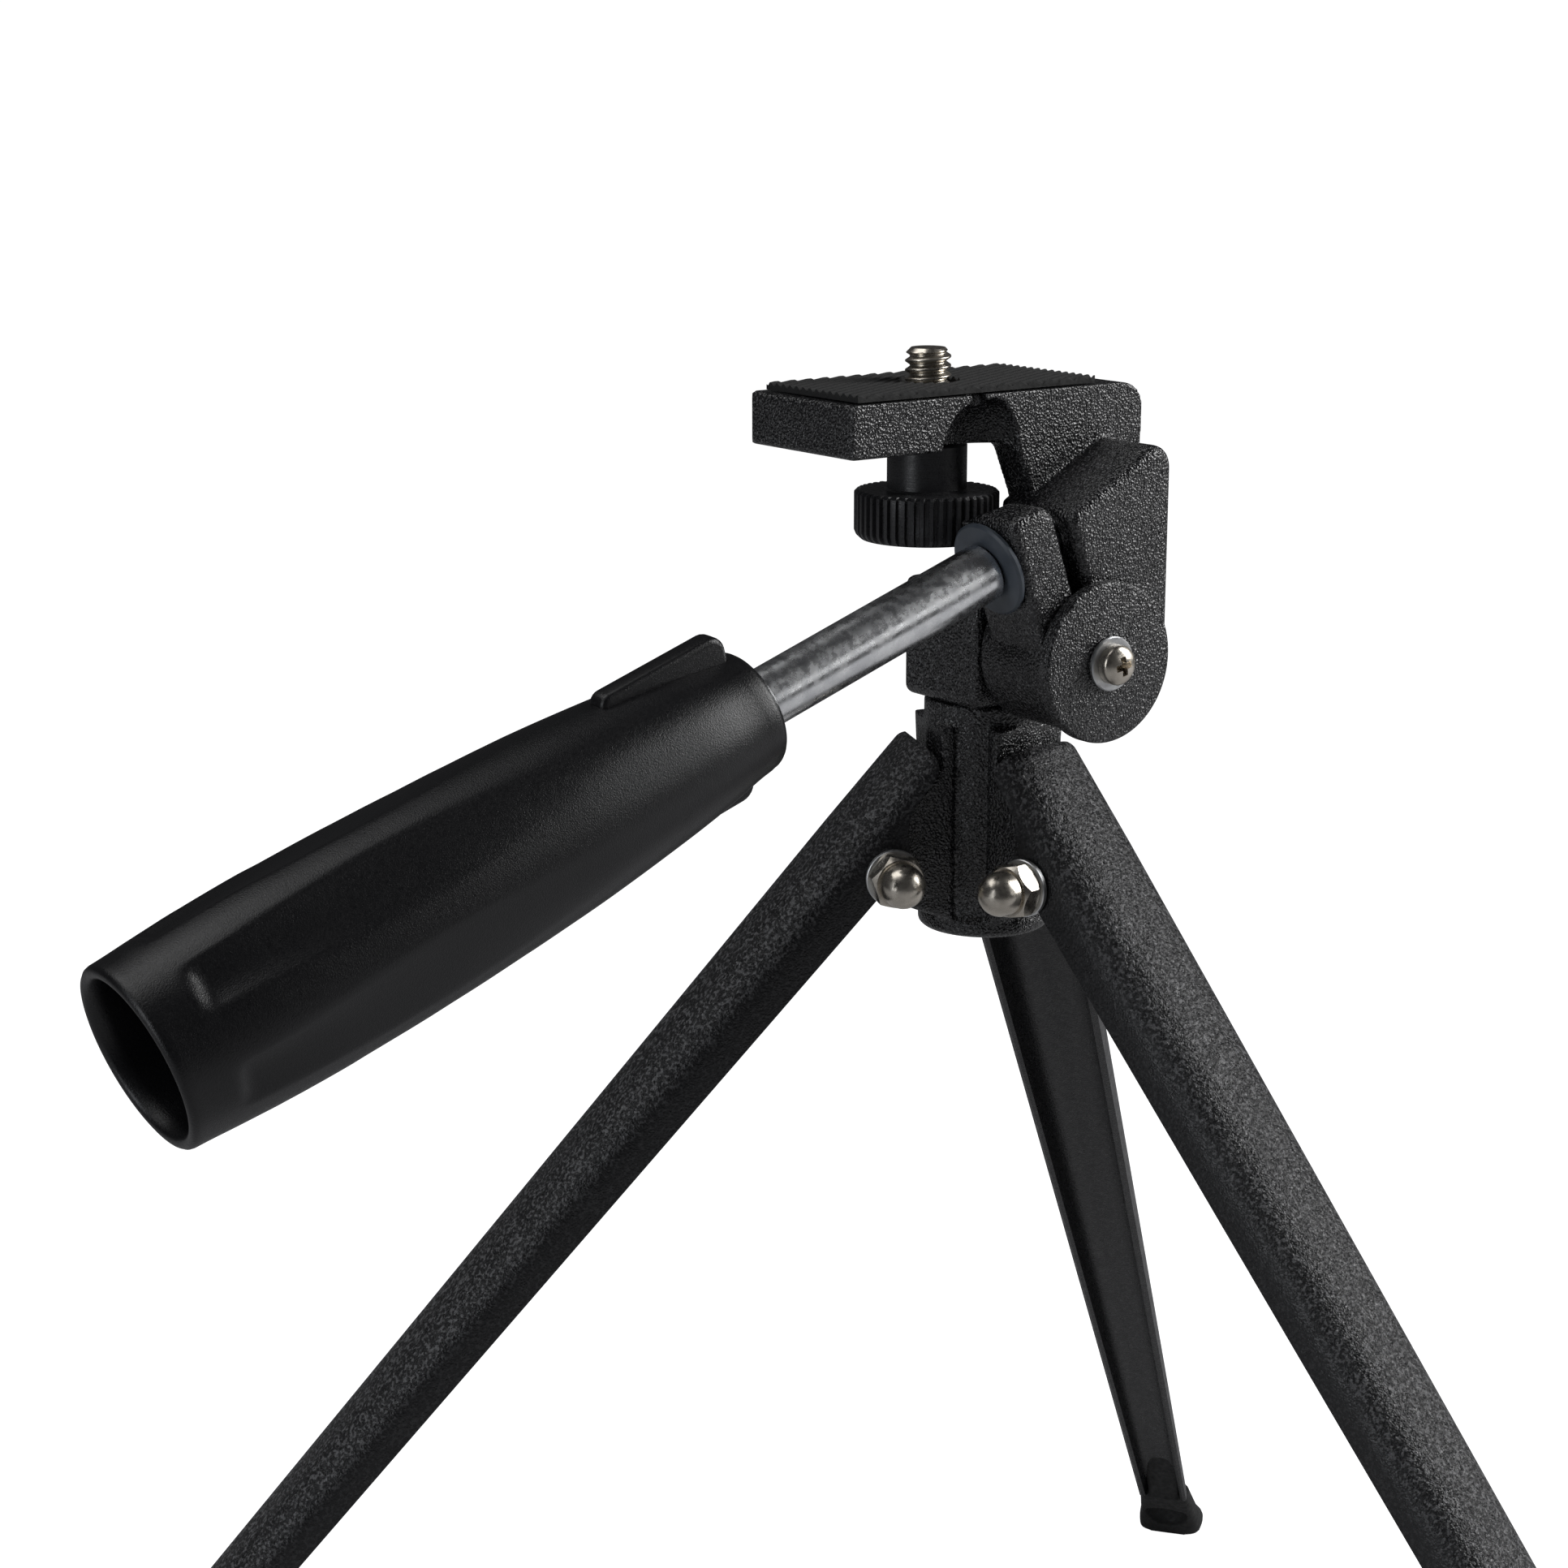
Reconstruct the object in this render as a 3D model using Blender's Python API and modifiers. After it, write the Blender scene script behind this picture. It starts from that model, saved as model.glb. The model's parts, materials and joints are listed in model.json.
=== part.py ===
"""Tabletop tripod with a pan and tilt head and a twist handle.

Origin: on the ground, under the middle of the whole object. +Z is up. The tilt axis runs along
Y and the handle points towards -X. Each moving group hangs on an empty on its joint's axis.
"""

import math

import bmesh
import bpy
from mathutils import Matrix, Vector

MM = 0.001
GAP = 0.2 * MM

# Where the pan axis stands. Every other X and Y below is measured from it.
PAN_AXIS = (12.6 * MM, 38.5 * MM)

# Heights, all measured from the ground that the feet stand on.
PLATFORM_TOP = 270.5 * MM
TILT_HEIGHT = PLATFORM_TOP - 35.8 * MM
HINGE_HEIGHT = PLATFORM_TOP - 67.6 * MM
NECK_TOP = PLATFORM_TOP - 44.2 * MM
HUB_BOTTOM = PLATFORM_TOP - 77.6 * MM

# Tripod: three legs that fold on hinge bolts around the hub.
LEG_AZIMUTHS = {"back": 37.24, "left": 157.24, "right": 277.24}
LEG_SPREAD = math.radians(41.4)
HINGE_RADIUS = 16.0 * MM
NECK_RADIUS = 8.8 * MM
BASE_RADIUS = 9.3 * MM
LUG_HALF_WIDTH = 6.8 * MM
LUG_END_RADIUS = 4.2 * MM
LEG_TOP = -16.8 * MM
LEG_END = 256.0 * MM
LEG_WALL = 1.2 * MM
LEG_HALF_WIDTH_TOP = 8.7 * MM
LEG_HALF_WIDTH_END = 5.0 * MM
LEG_BACK_TOP = 8.6 * MM
LEG_BACK_END = 6.2 * MM
LEG_TIP_TOP = -0.5 * MM
LEG_TIP_END = 2.0 * MM
SECTION_POWER = 0.62
EAR_RADIUS = 3.9 * MM
TONGUE_LENGTH = 9.0 * MM
TONGUE_CLEARANCE = 0.5 * MM

# Fasteners of the leg hinges.
BOLT_RADIUS = 1.95 * MM
BOLT_HOLE_RADIUS = 2.2 * MM
WASHER_RADIUS = 4.05 * MM
WASHER_THICKNESS = 0.8 * MM
NUT_ACROSS_FLATS = 7.0 * MM
NUT_HEIGHT = 3.0 * MM
DOME_RADIUS = 3.1 * MM

# Head: pan block, barrel and the clamp that tilts on the barrel.
TILT_X = 1.0 * MM
HANDLE_DIP = math.radians(19.2)
HANDLE_OFFSET = 17.2 * MM
HANDLE_Y = -16.0 * MM
BARREL_RADIUS = 6.9 * MM
RING_RADIUS = 10.2 * MM
RING_NEAR = -22.3 * MM
RING_FAR = -9.4 * MM
CAP_RADIUS = 11.1 * MM
CAP_THICKNESS = 1.9 * MM
SLOT_WIDTH = 2.2 * MM
EAR_FACE = -8.6 * MM
EAR_TOP = 24.2 * MM

# Platform and its camera screw, a quarter inch with 20 threads to the inch.
PLATFORM_LEFT = -33.0 * MM
PLATFORM_RIGHT = 18.1 * MM
PLATFORM_HALF_WIDTH = 11.2 * MM
PLATFORM_THICKNESS = 7.2 * MM
PAD_THICKNESS = 1.0 * MM
SCREW_X = -11.3 * MM
SCREW_RADIUS = 3.1 * MM
SCREW_TOP = PLATFORM_TOP + 5.5 * MM
WHEEL_RADIUS = 10.0 * MM
WHEEL_TOP = PLATFORM_TOP - 13.9 * MM
WHEEL_BOTTOM = PLATFORM_TOP - 20.7 * MM
BOSS_RADIUS = 5.5 * MM

# Handle: a steel rod in a hollow moulded grip. Distances run along the rod, away from the clamp.
ROD_RADIUS = 4.0 * MM
ROD_THREAD_RADIUS = 2.9 * MM
ROD_SHOULDER = 9.9 * MM
ROD_END = 98.0 * MM
ROD_TIP = -9.5 * MM
GRIP_FRONT = 51.0 * MM
GRIP_REAR = 142.6 * MM
GRIP_CAVITY_DEPTH = 42.0 * MM
RIB_TURN = 4.0
GRIP_PROFILE = (
    (0.0, 7.2), (0.6, 8.0), (3.6, 8.5), (10.0, 9.6), (18.0, 10.5), (27.0, 11.3), (36.0, 12.0),
    (46.0, 12.5), (58.0, 12.8), (70.0, 12.8), (80.0, 12.5), (87.0, 12.1), (90.8, 11.7), (91.6, 11.0),
)

BLACK_COAT = (0.012, 0.012, 0.013)
BLACK_PLASTIC = (0.010, 0.010, 0.011)
BLACK_RUBBER = (0.014, 0.014, 0.014)
NICKEL = (0.62, 0.58, 0.52)
CHROME = (0.78, 0.79, 0.80)
ZINC = (0.66, 0.67, 0.68)
NYLON = (0.30, 0.36, 0.45)


def clear_scene():
    for obj in list(bpy.data.objects):
        bpy.data.objects.remove(obj)


def make_collection(name):
    collection = bpy.data.collections.new(name)
    bpy.context.scene.collection.children.link(collection)
    return collection


clear_scene()
PARTS = make_collection("tabletop_tripod")
CUTTERS = make_collection("cutters")


def material(name, colour, roughness, metallic):
    made = bpy.data.materials.new(name)
    made.use_nodes = True
    shader = made.node_tree.nodes["Principled BSDF"]
    shader.inputs["Base Color"].default_value = (*colour, 1.0)
    shader.inputs["Roughness"].default_value = roughness
    shader.inputs["Metallic"].default_value = metallic
    return made


def frame(name, location, rotation=None):
    """An empty on a joint's axis, which the pieces of its group hang on."""
    empty = bpy.data.objects.new(name, None)
    matrix = Matrix.Translation(Vector((*PAN_AXIS, 0.0)) + Vector(location))
    if rotation is not None:
        matrix = matrix @ rotation.to_4x4()
    empty.matrix_world = matrix
    PARTS.objects.link(empty)
    return empty


def add(name, mesh, parent, local=Matrix.Identity(4), collection=None):
    obj = bpy.data.objects.new(name, mesh)
    (collection or PARTS).objects.link(obj)
    obj.parent = parent
    obj.matrix_local = local
    return obj


def helper(obj):
    """Turns an object into a cutter: it shapes others and is not a part itself."""
    for collection in list(obj.users_collection):
        collection.objects.unlink(obj)
    CUTTERS.objects.link(obj)
    obj.hide_render = True
    obj.display_type = "WIRE"
    return obj


def mesh_from(name, bm):
    mesh = bpy.data.meshes.new(name)
    bmesh.ops.recalc_face_normals(bm, faces=bm.faces[:])
    bm.to_mesh(mesh)
    bm.free()
    return mesh


def block(name, low, high, parent):
    """A box between two corners of its parent's frame."""
    low, high = Vector(low), Vector(high)
    bm = bmesh.new()
    bmesh.ops.create_cube(bm, size=1.0)
    bmesh.ops.scale(bm, vec=high - low, verts=bm.verts[:])
    bmesh.ops.translate(bm, vec=(high + low) / 2, verts=bm.verts[:])
    return add(name, mesh_from(name, bm), parent)


def cylinder(name, radius, start, end, parent, sides=28):
    """A round bar between two points of its parent's frame."""
    start, end = Vector(start), Vector(end)
    bm = bmesh.new()
    bmesh.ops.create_cone(
        bm,
        cap_ends=True,
        segments=sides,
        radius1=radius,
        radius2=radius,
        depth=(end - start).length,
    )
    turn = (end - start).to_track_quat("Z", "Y").to_matrix().to_4x4()
    local = Matrix.Translation((start + end) / 2) @ turn
    obj = add(name, mesh_from(name, bm), parent, local)
    smooth(obj)
    return obj


def plate(name, outline, low, high, parent, local=Matrix.Identity(4)):
    """A flat outline in the XY plane, as thick as from low to high along Z, as a closed mesh."""
    curve = bpy.data.curves.new(name, "CURVE")
    curve.dimensions = "2D"
    curve.fill_mode = "BOTH"
    curve.extrude = (high - low) / 2
    spline = curve.splines.new("POLY")
    spline.points.add(len(outline) - 1)
    for point, (x, y) in zip(spline.points, outline):
        point.co = (x, y, 0.0, 1.0)
    spline.use_cyclic_u = True
    source = bpy.data.objects.new(name + "_outline", curve)
    PARTS.objects.link(source)
    bpy.context.view_layer.update()
    graph = bpy.context.evaluated_depsgraph_get()
    mesh = bpy.data.meshes.new_from_object(source.evaluated_get(graph))
    bpy.data.objects.remove(source)
    bm = bmesh.new()
    bm.from_mesh(mesh)
    bmesh.ops.remove_doubles(bm, verts=bm.verts[:], dist=1e-6)
    bmesh.ops.translate(bm, vec=(0, 0, (low + high) / 2), verts=bm.verts[:])
    return add(name, mesh_from(name, bm), parent, local)


def turned(name, profile, parent, local=Matrix.Identity(4), steps=36):
    """A turned solid about Z. The profile is (radius, height) from the top down its outer side."""
    mesh = bpy.data.meshes.new(name)
    points = [(radius, 0.0, height) for radius, height in profile]
    edges = [(i, i + 1) for i in range(len(points) - 1)]
    mesh.from_pydata(points, edges, [])
    obj = add(name, mesh, parent, local)
    screw = obj.modifiers.new("turn", "SCREW")
    screw.steps = steps
    screw.render_steps = steps
    screw.use_merge_vertices = True
    screw.merge_threshold = 1e-6
    return obj


def loft(name, sections, parent):
    """A closed skin through sections of equal point count, capped at both ends."""
    bm = bmesh.new()
    rings = [[bm.verts.new(point) for point in section] for section in sections]
    for ring, following in zip(rings, rings[1:]):
        for i in range(len(ring)):
            j = (i + 1) % len(ring)
            bm.faces.new((ring[i], ring[j], following[j], following[i]))
    bm.faces.new(rings[0][::-1])
    bm.faces.new(rings[-1])
    obj = add(name, mesh_from(name, bm), parent)
    smooth(obj)
    return obj


def smooth(obj, angle=35.0):
    obj.data.shade_smooth()
    obj.data.set_sharp_from_angle(angle=math.radians(angle))


def paint(obj, finish):
    obj.data.materials.append(finish)


def boolean(obj, other, operation):
    modifier = obj.modifiers.new(operation.lower(), "BOOLEAN")
    modifier.operation = operation
    modifier.object = helper(other)
    modifier.solver = "EXACT"


def cut(obj, *others):
    for other in others:
        boolean(obj, other, "DIFFERENCE")


def join(obj, *others):
    for other in others:
        boolean(obj, other, "UNION")


def bevel(obj, width, segments=2, angle=40.0):
    modifier = obj.modifiers.new("bevel", "BEVEL")
    modifier.width = width
    modifier.segments = segments
    modifier.limit_method = "ANGLE"
    modifier.angle_limit = math.radians(angle)


def arc(centre, radius, start, end, count):
    """Points of an arc in degrees, both ends included."""
    angles = [math.radians(start + (end - start) * i / count) for i in range(count + 1)]
    return [(centre[0] + radius * math.cos(a), centre[1] + radius * math.sin(a)) for a in angles]


def hexagon(across_flats):
    radius = across_flats / math.sqrt(3)
    return arc((0.0, 0.0), radius, 0, 300, 5)


COAT = material("black_wrinkle_coat", BLACK_COAT, 0.45, 0.0)
LEG_COAT = material("black_leg_coat", BLACK_COAT, 0.55, 0.0)
PLASTIC = material("black_grip_plastic", BLACK_PLASTIC, 0.38, 0.0)
WHEEL_PLASTIC = material("black_knob_plastic", BLACK_PLASTIC, 0.35, 0.0)
RUBBER = material("black_rubber", BLACK_RUBBER, 0.8, 0.0)
NICKEL_PLATE = material("nickel", NICKEL, 0.25, 1.0)
CHROME_PLATE = material("chrome", CHROME, 0.12, 1.0)
ZINC_PLATE = material("zinc", ZINC, 0.3, 1.0)
NYLON_SHEET = material("nylon", NYLON, 0.45, 0.0)
SPRING_STEEL = material("spring_steel", ZINC, 0.35, 1.0)


# ---------------------------------------------------------------- frames on the joint axes

WORLD = frame("hub_frame", (0, 0, 0))
PAN = frame("pan_frame", (0, 0, NECK_TOP))
TILT = frame("tilt_frame", (TILT_X, 0, TILT_HEIGHT))
SCREW = frame("camera_screw_frame", (SCREW_X, 0, PLATFORM_TOP))


def handle_frame():
    """On the rod's axis above the barrel: local X runs along the rod, away from the grip."""
    turn = Matrix.Rotation(-HANDLE_DIP, 3, "Y")
    lift = turn @ Vector((0, 0, HANDLE_OFFSET))
    return frame("handle_frame", Vector((TILT_X, HANDLE_Y, TILT_HEIGHT)) + lift, turn)


HANDLE = handle_frame()


def leg_frame(side):
    """On the hinge bolt: local X runs down the leg, local Y outwards from its back."""
    azimuth = math.radians(LEG_AZIMUTHS[side])
    outward = Vector((math.cos(azimuth), math.sin(azimuth), 0.0))
    up = Vector((0.0, 0.0, 1.0))
    along = outward * math.sin(LEG_SPREAD) - up * math.cos(LEG_SPREAD)
    back = outward * math.cos(LEG_SPREAD) + up * math.sin(LEG_SPREAD)
    turn = Matrix((along, back, along.cross(back))).transposed()
    return frame(f"leg_{side}_frame", outward * HINGE_RADIUS + up * HINGE_HEIGHT, turn)


# ---------------------------------------------------------------- hub


def beside_leg(along, out):
    """A point of a leg's own axes, as distance from the pan axis and height above the ground."""
    radial = HINGE_RADIUS + along * math.sin(LEG_SPREAD) + out * math.cos(LEG_SPREAD)
    height = HINGE_HEIGHT - along * math.cos(LEG_SPREAD) + out * math.sin(LEG_SPREAD)
    return (radial, height)


def hub_lug(side):
    """One tongue of the hub, which fills a leg's channel around its hinge bolt."""
    azimuth = math.radians(LEG_AZIMUTHS[side])
    shoulder = 4.0 * MM
    outline = [
        (0.0, NECK_TOP - 3.0 * MM),
        (NECK_RADIUS - 0.1 * MM, NECK_TOP - 3.0 * MM),
        beside_leg(-16.0 * MM, shoulder),
        beside_leg(-3.0 * MM, shoulder),
        *arc((HINGE_RADIUS, HINGE_HEIGHT), LUG_END_RADIUS, 30, -90, 8),
        (6.0 * MM, HUB_BOTTOM + 2.2 * MM),
        (0.0, HUB_BOTTOM + 2.2 * MM),
    ]
    upright = Matrix.Rotation(azimuth, 4, "Z") @ Matrix.Rotation(math.pi / 2, 4, "X")
    name = f"hub_lug_{side}"
    lug = plate(name, outline, -LUG_HALF_WIDTH, LUG_HALF_WIDTH, WORLD, upright)
    bevel(lug, 0.6 * MM, 2)
    return lug


def hinge_line(side, reach):
    """Both ends of a line along a leg's hinge bolt, reach to each side of the leg."""
    azimuth = math.radians(LEG_AZIMUTHS[side])
    centre = Vector((math.cos(azimuth), math.sin(azimuth), 0.0)) * HINGE_RADIUS
    centre.z = HINGE_HEIGHT
    tangent = Vector((-math.sin(azimuth), math.cos(azimuth), 0.0))
    return centre - tangent * reach, centre + tangent * reach


def hub_casting():
    base_edge = 0.7 * MM
    profile = [
        (0.0, NECK_TOP),
        (NECK_RADIUS - 0.4 * MM, NECK_TOP),
        (NECK_RADIUS, NECK_TOP - 0.4 * MM),
        (NECK_RADIUS, HUB_BOTTOM + 2.9 * MM),
        (BASE_RADIUS, HUB_BOTTOM + 2.4 * MM),
        (BASE_RADIUS, HUB_BOTTOM + base_edge),
        (BASE_RADIUS - base_edge, HUB_BOTTOM),
        (0.0, HUB_BOTTOM),
    ]
    hub = turned("hub_casting", profile, WORLD)
    join(hub, *[hub_lug(side) for side in LEG_AZIMUTHS])
    cut(
        hub,
        cylinder("hub_bolt_well", 5.6 * MM, (0, 0, HUB_BOTTOM - 5 * MM),
                 (0, 0, NECK_TOP - 8.0 * MM), WORLD),
        cylinder("hub_pan_bore", 2.8 * MM, (0, 0, HUB_BOTTOM), (0, 0, NECK_TOP + 5 * MM), WORLD, 24),
    )
    for side in LEG_AZIMUTHS:
        start, end = hinge_line(side, 20 * MM)
        cut(hub, cylinder(f"hub_hinge_bore_{side}", BOLT_HOLE_RADIUS, start, end, WORLD, 20))
    paint(hub, COAT)


# ---------------------------------------------------------------- legs


def taper(distance, top, end):
    share = min(max(distance / LEG_END, 0.0), 1.0)
    return top + (end - top) * share


def leg_section(distance, inset=0.0, count=16):
    """The leg's outline at a distance below the hinge: two flanges joined by a rounded back."""
    half = taper(distance, LEG_HALF_WIDTH_TOP, LEG_HALF_WIDTH_END) - inset
    tip = taper(distance, LEG_TIP_TOP, LEG_TIP_END)
    back = taper(distance, LEG_BACK_TOP, LEG_BACK_END) - inset
    points = []
    for i in range(count + 1):
        angle = math.pi * i / count
        across = half * math.copysign(abs(math.cos(angle)) ** SECTION_POWER, math.cos(angle))
        out = tip + (back - tip) * math.sin(angle) ** SECTION_POWER if 0 < i < count else tip
        points.append((distance, out, across))
    return points


def leg_channel(name, parent):
    """The pressed sheet, as an open surface with its wall grown inwards."""
    stations = (LEG_TOP, 0.0, 60 * MM, 125 * MM, 190 * MM, LEG_END)
    bm = bmesh.new()
    rows = [[bm.verts.new(point) for point in leg_section(station)] for station in stations]
    for row, following in zip(rows, rows[1:]):
        for i in range(len(row) - 1):
            bm.faces.new((row[i], following[i], following[i + 1], row[i + 1]))
    mesh = bpy.data.meshes.new(name)
    bm.to_mesh(mesh)
    bm.free()
    leg = add(name, mesh, parent)
    smooth(leg, 50.0)
    wall = leg.modifiers.new("wall", "SOLIDIFY")
    wall.thickness = LEG_WALL
    wall.offset = -1.0
    return leg


def flange_relief(name, parent):
    """What is cut from the flanges above the hinge, so that they clear the hub."""
    outline = [
        (LEG_TOP - 4 * MM, -9 * MM),
        (LEG_TOP - 4 * MM, 7.6 * MM),
        (LEG_TOP, 7.6 * MM),
        *arc((LEG_TOP + 2.6 * MM, 6.7 * MM), 2.6 * MM, 170, 270, 5),
        (-8.0 * MM, 4.1 * MM),
        (-6.2 * MM, 3.2 * MM),
        (-4.9 * MM, 1.6 * MM),
        (-4.2 * MM, 0.0),
        (-4.2 * MM, -9 * MM),
    ]
    return plate(name, outline, -14 * MM, 14 * MM, parent)


def leg(side, parent):
    made = leg_channel(f"leg_{side}", parent)
    inner = LEG_HALF_WIDTH_TOP - LEG_WALL + 0.1 * MM
    outer = LEG_HALF_WIDTH_TOP - 0.1 * MM
    for sign in (-1, 1):
        ends = sorted((sign * inner, sign * outer))
        ear = cylinder(
            f"leg_ear_{side}_{'near' if sign < 0 else 'far'}",
            EAR_RADIUS,
            (0, 0.0, ends[0]),
            (0, 0.0, ends[1]),
            parent,
            28,
        )
        join(made, ear)
    cut(
        made,
        flange_relief(f"leg_relief_{side}", parent),
        cylinder(f"leg_bore_{side}", BOLT_HOLE_RADIUS, (0, 0, -15 * MM), (0, 0, 15 * MM), parent, 20),
    )
    paint(made, LEG_COAT)


def ground_point(radial, height, across):
    """A point given by its distance from the pan axis and its height, in a leg's frame."""
    run = radial - HINGE_RADIUS
    drop = HINGE_HEIGHT - height
    along = run * math.sin(LEG_SPREAD) + drop * math.cos(LEG_SPREAD)
    out = run * math.cos(LEG_SPREAD) - drop * math.sin(LEG_SPREAD)
    return (along, out, across)


def sole_section(height, inner, outer, half_width, count=16):
    """A level section of the foot, with the same points as a leg section."""
    points = []
    for i in range(count + 1):
        angle = math.pi * i / count
        across = half_width * math.copysign(abs(math.cos(angle)) ** SECTION_POWER, math.cos(angle))
        reach = math.sin(angle) ** SECTION_POWER if 0 < i < count else 0.0
        points.append(ground_point(inner + (outer - inner) * reach, height, across))
    return points


def foot(side, parent):
    """A rubber shoe: a tongue inside the leg's channel, flaring to a level sole."""
    tongue = leg_section(LEG_END, LEG_WALL + TONGUE_CLEARANCE)
    tongue = [(x, max(y, LEG_TIP_END + 0.9 * MM), z) for x, y, z in tongue]
    sections = [
        [(x - TONGUE_LENGTH, y, z) for x, y, z in tongue],
        [(x + GAP, y, z) for x, y, z in tongue],
        [(x + GAP, y, z) for x, y, z in leg_section(LEG_END)],
        sole_section(6.0 * MM, 191.6 * MM, 199.2 * MM, 5.7 * MM),
        sole_section(2.4 * MM, 194.0 * MM, 205.6 * MM, 6.7 * MM),
        sole_section(0.6 * MM, 194.4 * MM, 206.6 * MM, 6.9 * MM),
        sole_section(0.0, 195.0 * MM, 206.0 * MM, 6.3 * MM),
    ]
    shoe = loft(f"foot_{side}", sections, parent)
    paint(shoe, RUBBER)


# ---------------------------------------------------------------- hinge fasteners


def hinge_fasteners(side, parent):
    """Bolt, two washers and a dome nut, along the hinge. The nut side is local Z times sign."""
    sign = 1 if side == "right" else -1
    face = LEG_HALF_WIDTH_TOP
    washer_start = face + GAP
    washer_end = washer_start + WASHER_THICKNESS
    nut_start = washer_end + 0.1 * MM

    def along(distance):
        return (0, 0, sign * distance)

    for place, direction in (("nut", 1), ("bolt", -1)):
        washer = cylinder(
            f"{place}_washer_{side}", WASHER_RADIUS,
            along(direction * washer_start), along(direction * washer_end), parent, 24,
        )
        hole = cylinder(
            f"{place}_washer_hole_{side}", BOLT_HOLE_RADIUS,
            along(direction * (washer_start - MM)), along(direction * (washer_end + MM)), parent, 20,
        )
        cut(washer, hole)
        paint(washer, ZINC_PLATE)

    turn = Matrix.Identity(4) if sign > 0 else Matrix.Rotation(math.pi, 4, "X")
    bolt_end = nut_start + 4.6 * MM
    bolt = turned(f"hinge_bolt_{side}", bolt_profile(-nut_start, bolt_end), parent, turn, 20)
    paint(bolt, NICKEL_PLATE)

    nut_outline = hexagon(NUT_ACROSS_FLATS)
    nut = plate(f"dome_nut_{side}", nut_outline, nut_start, nut_start + NUT_HEIGHT, parent, turn)
    bevel(nut, 0.35 * MM, 1, 80.0)
    join(nut, nut_dome(side, nut_start + NUT_HEIGHT - 0.2 * MM, parent, turn))
    bore = cylinder(f"dome_nut_bore_{side}", BOLT_HOLE_RADIUS, along(nut_start - MM),
                    along(bolt_end + 0.4 * MM), parent, 20)
    cut(nut, bore)
    paint(nut, NICKEL_PLATE)


def bolt_profile(head_base, end):
    """A pan head below head_base and a shank up to end, from the top down."""
    head_radius = 3.6 * MM
    return [
        (0.0, end),
        (BOLT_RADIUS - 0.4 * MM, end),
        (BOLT_RADIUS, end - 0.4 * MM),
        (BOLT_RADIUS, head_base),
        (head_radius, head_base),
        (head_radius, head_base - 1.2 * MM),
        (head_radius - 0.8 * MM, head_base - 2.1 * MM),
        (1.4 * MM, head_base - 2.4 * MM),
        (0.0, head_base - 2.4 * MM),
    ]


def nut_dome(side, base, parent, turn):
    """A short neck with a hemisphere on it."""
    neck = 1.3 * MM
    cap = arc((0.0, base + neck), DOME_RADIUS, 90, 0, 5)
    profile = [(0.0, base + neck + DOME_RADIUS), *cap[1:], (DOME_RADIUS, base), (0.0, base)]
    return turned(f"nut_dome_{side}", profile, parent, turn, 20)


# ---------------------------------------------------------------- pan block and its bolt


def pan_block():
    """The block that turns on the neck, with the barrel that the head tilts on."""
    base = GAP
    made = block("pan_block", (-9.3 * MM, -8.6 * MM, base), (9.2 * MM, 7.6 * MM, 17.2 * MM), PAN)
    bevel(made, 1.5 * MM, 3)
    axis_height = TILT_HEIGHT - NECK_TOP
    barrel_end = RING_NEAR - 0.05 * MM
    join(
        made,
        cylinder("tilt_barrel", BARREL_RADIUS, (TILT_X, 0, axis_height),
                 (TILT_X, barrel_end, axis_height), PAN, 32),
    )
    cut(
        made,
        cylinder("pan_bolt_hole", 2.8 * MM, (0, 0, -MM), (0, 0, 11.0 * MM), PAN, 24),
        cylinder("tilt_screw_hole", 1.75 * MM, (TILT_X, -11 * MM, axis_height),
                 (TILT_X, barrel_end - MM, axis_height), PAN, 16),
    )
    paint(made, COAT)


def pan_fasteners():
    """The bolt that holds the pan block down, with its washer and friction spring."""
    shelf = -8.0 * MM
    washer_top = shelf - 1.5 * MM
    head_top = washer_top - 1.1 * MM
    spring = cylinder("pan_spring_washer", 5.0 * MM, (0, 0, shelf - GAP), (0, 0, shelf - 1.3 * MM), PAN)
    cut(spring, cylinder("pan_spring_hole", 2.9 * MM, (0, 0, 0), (0, 0, -20 * MM), PAN, 24))
    paint(spring, SPRING_STEEL)
    washer = cylinder("pan_washer", 5.2 * MM, (0, 0, washer_top), (0, 0, washer_top - 0.9 * MM), PAN)
    cut(washer, cylinder("pan_washer_hole", 2.9 * MM, (0, 0, 0), (0, 0, -20 * MM), PAN, 24))
    paint(washer, ZINC_PLATE)
    profile = [
        (0.0, 10.6 * MM),
        (2.5 * MM, 10.6 * MM),
        (2.5 * MM, head_top),
        (4.6 * MM, head_top),
        (4.6 * MM, head_top - 3.0 * MM),
        (4.0 * MM, head_top - 3.4 * MM),
        (0.0, head_top - 3.4 * MM),
    ]
    bolt = turned("pan_bolt", profile, PAN, steps=32)
    paint(bolt, ZINC_PLATE)


# ---------------------------------------------------------------- tilting casting


def facing_side(outline_name, outline, near, far, parent):
    """A plate whose outline lies in the XZ plane, from Y = near (the lower value) to far."""
    upright = Matrix.Rotation(math.pi / 2, 4, "X")
    return plate(outline_name, outline, -far, -near, parent, upright)


def clamp_point(along, up):
    """A point of the clamp's own tilted axes, as X and Z of the tilt frame."""
    x = along * math.cos(HANDLE_DIP) - up * math.sin(HANDLE_DIP)
    z = along * math.sin(HANDLE_DIP) + up * math.cos(HANDLE_DIP)
    return (x, z)


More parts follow.
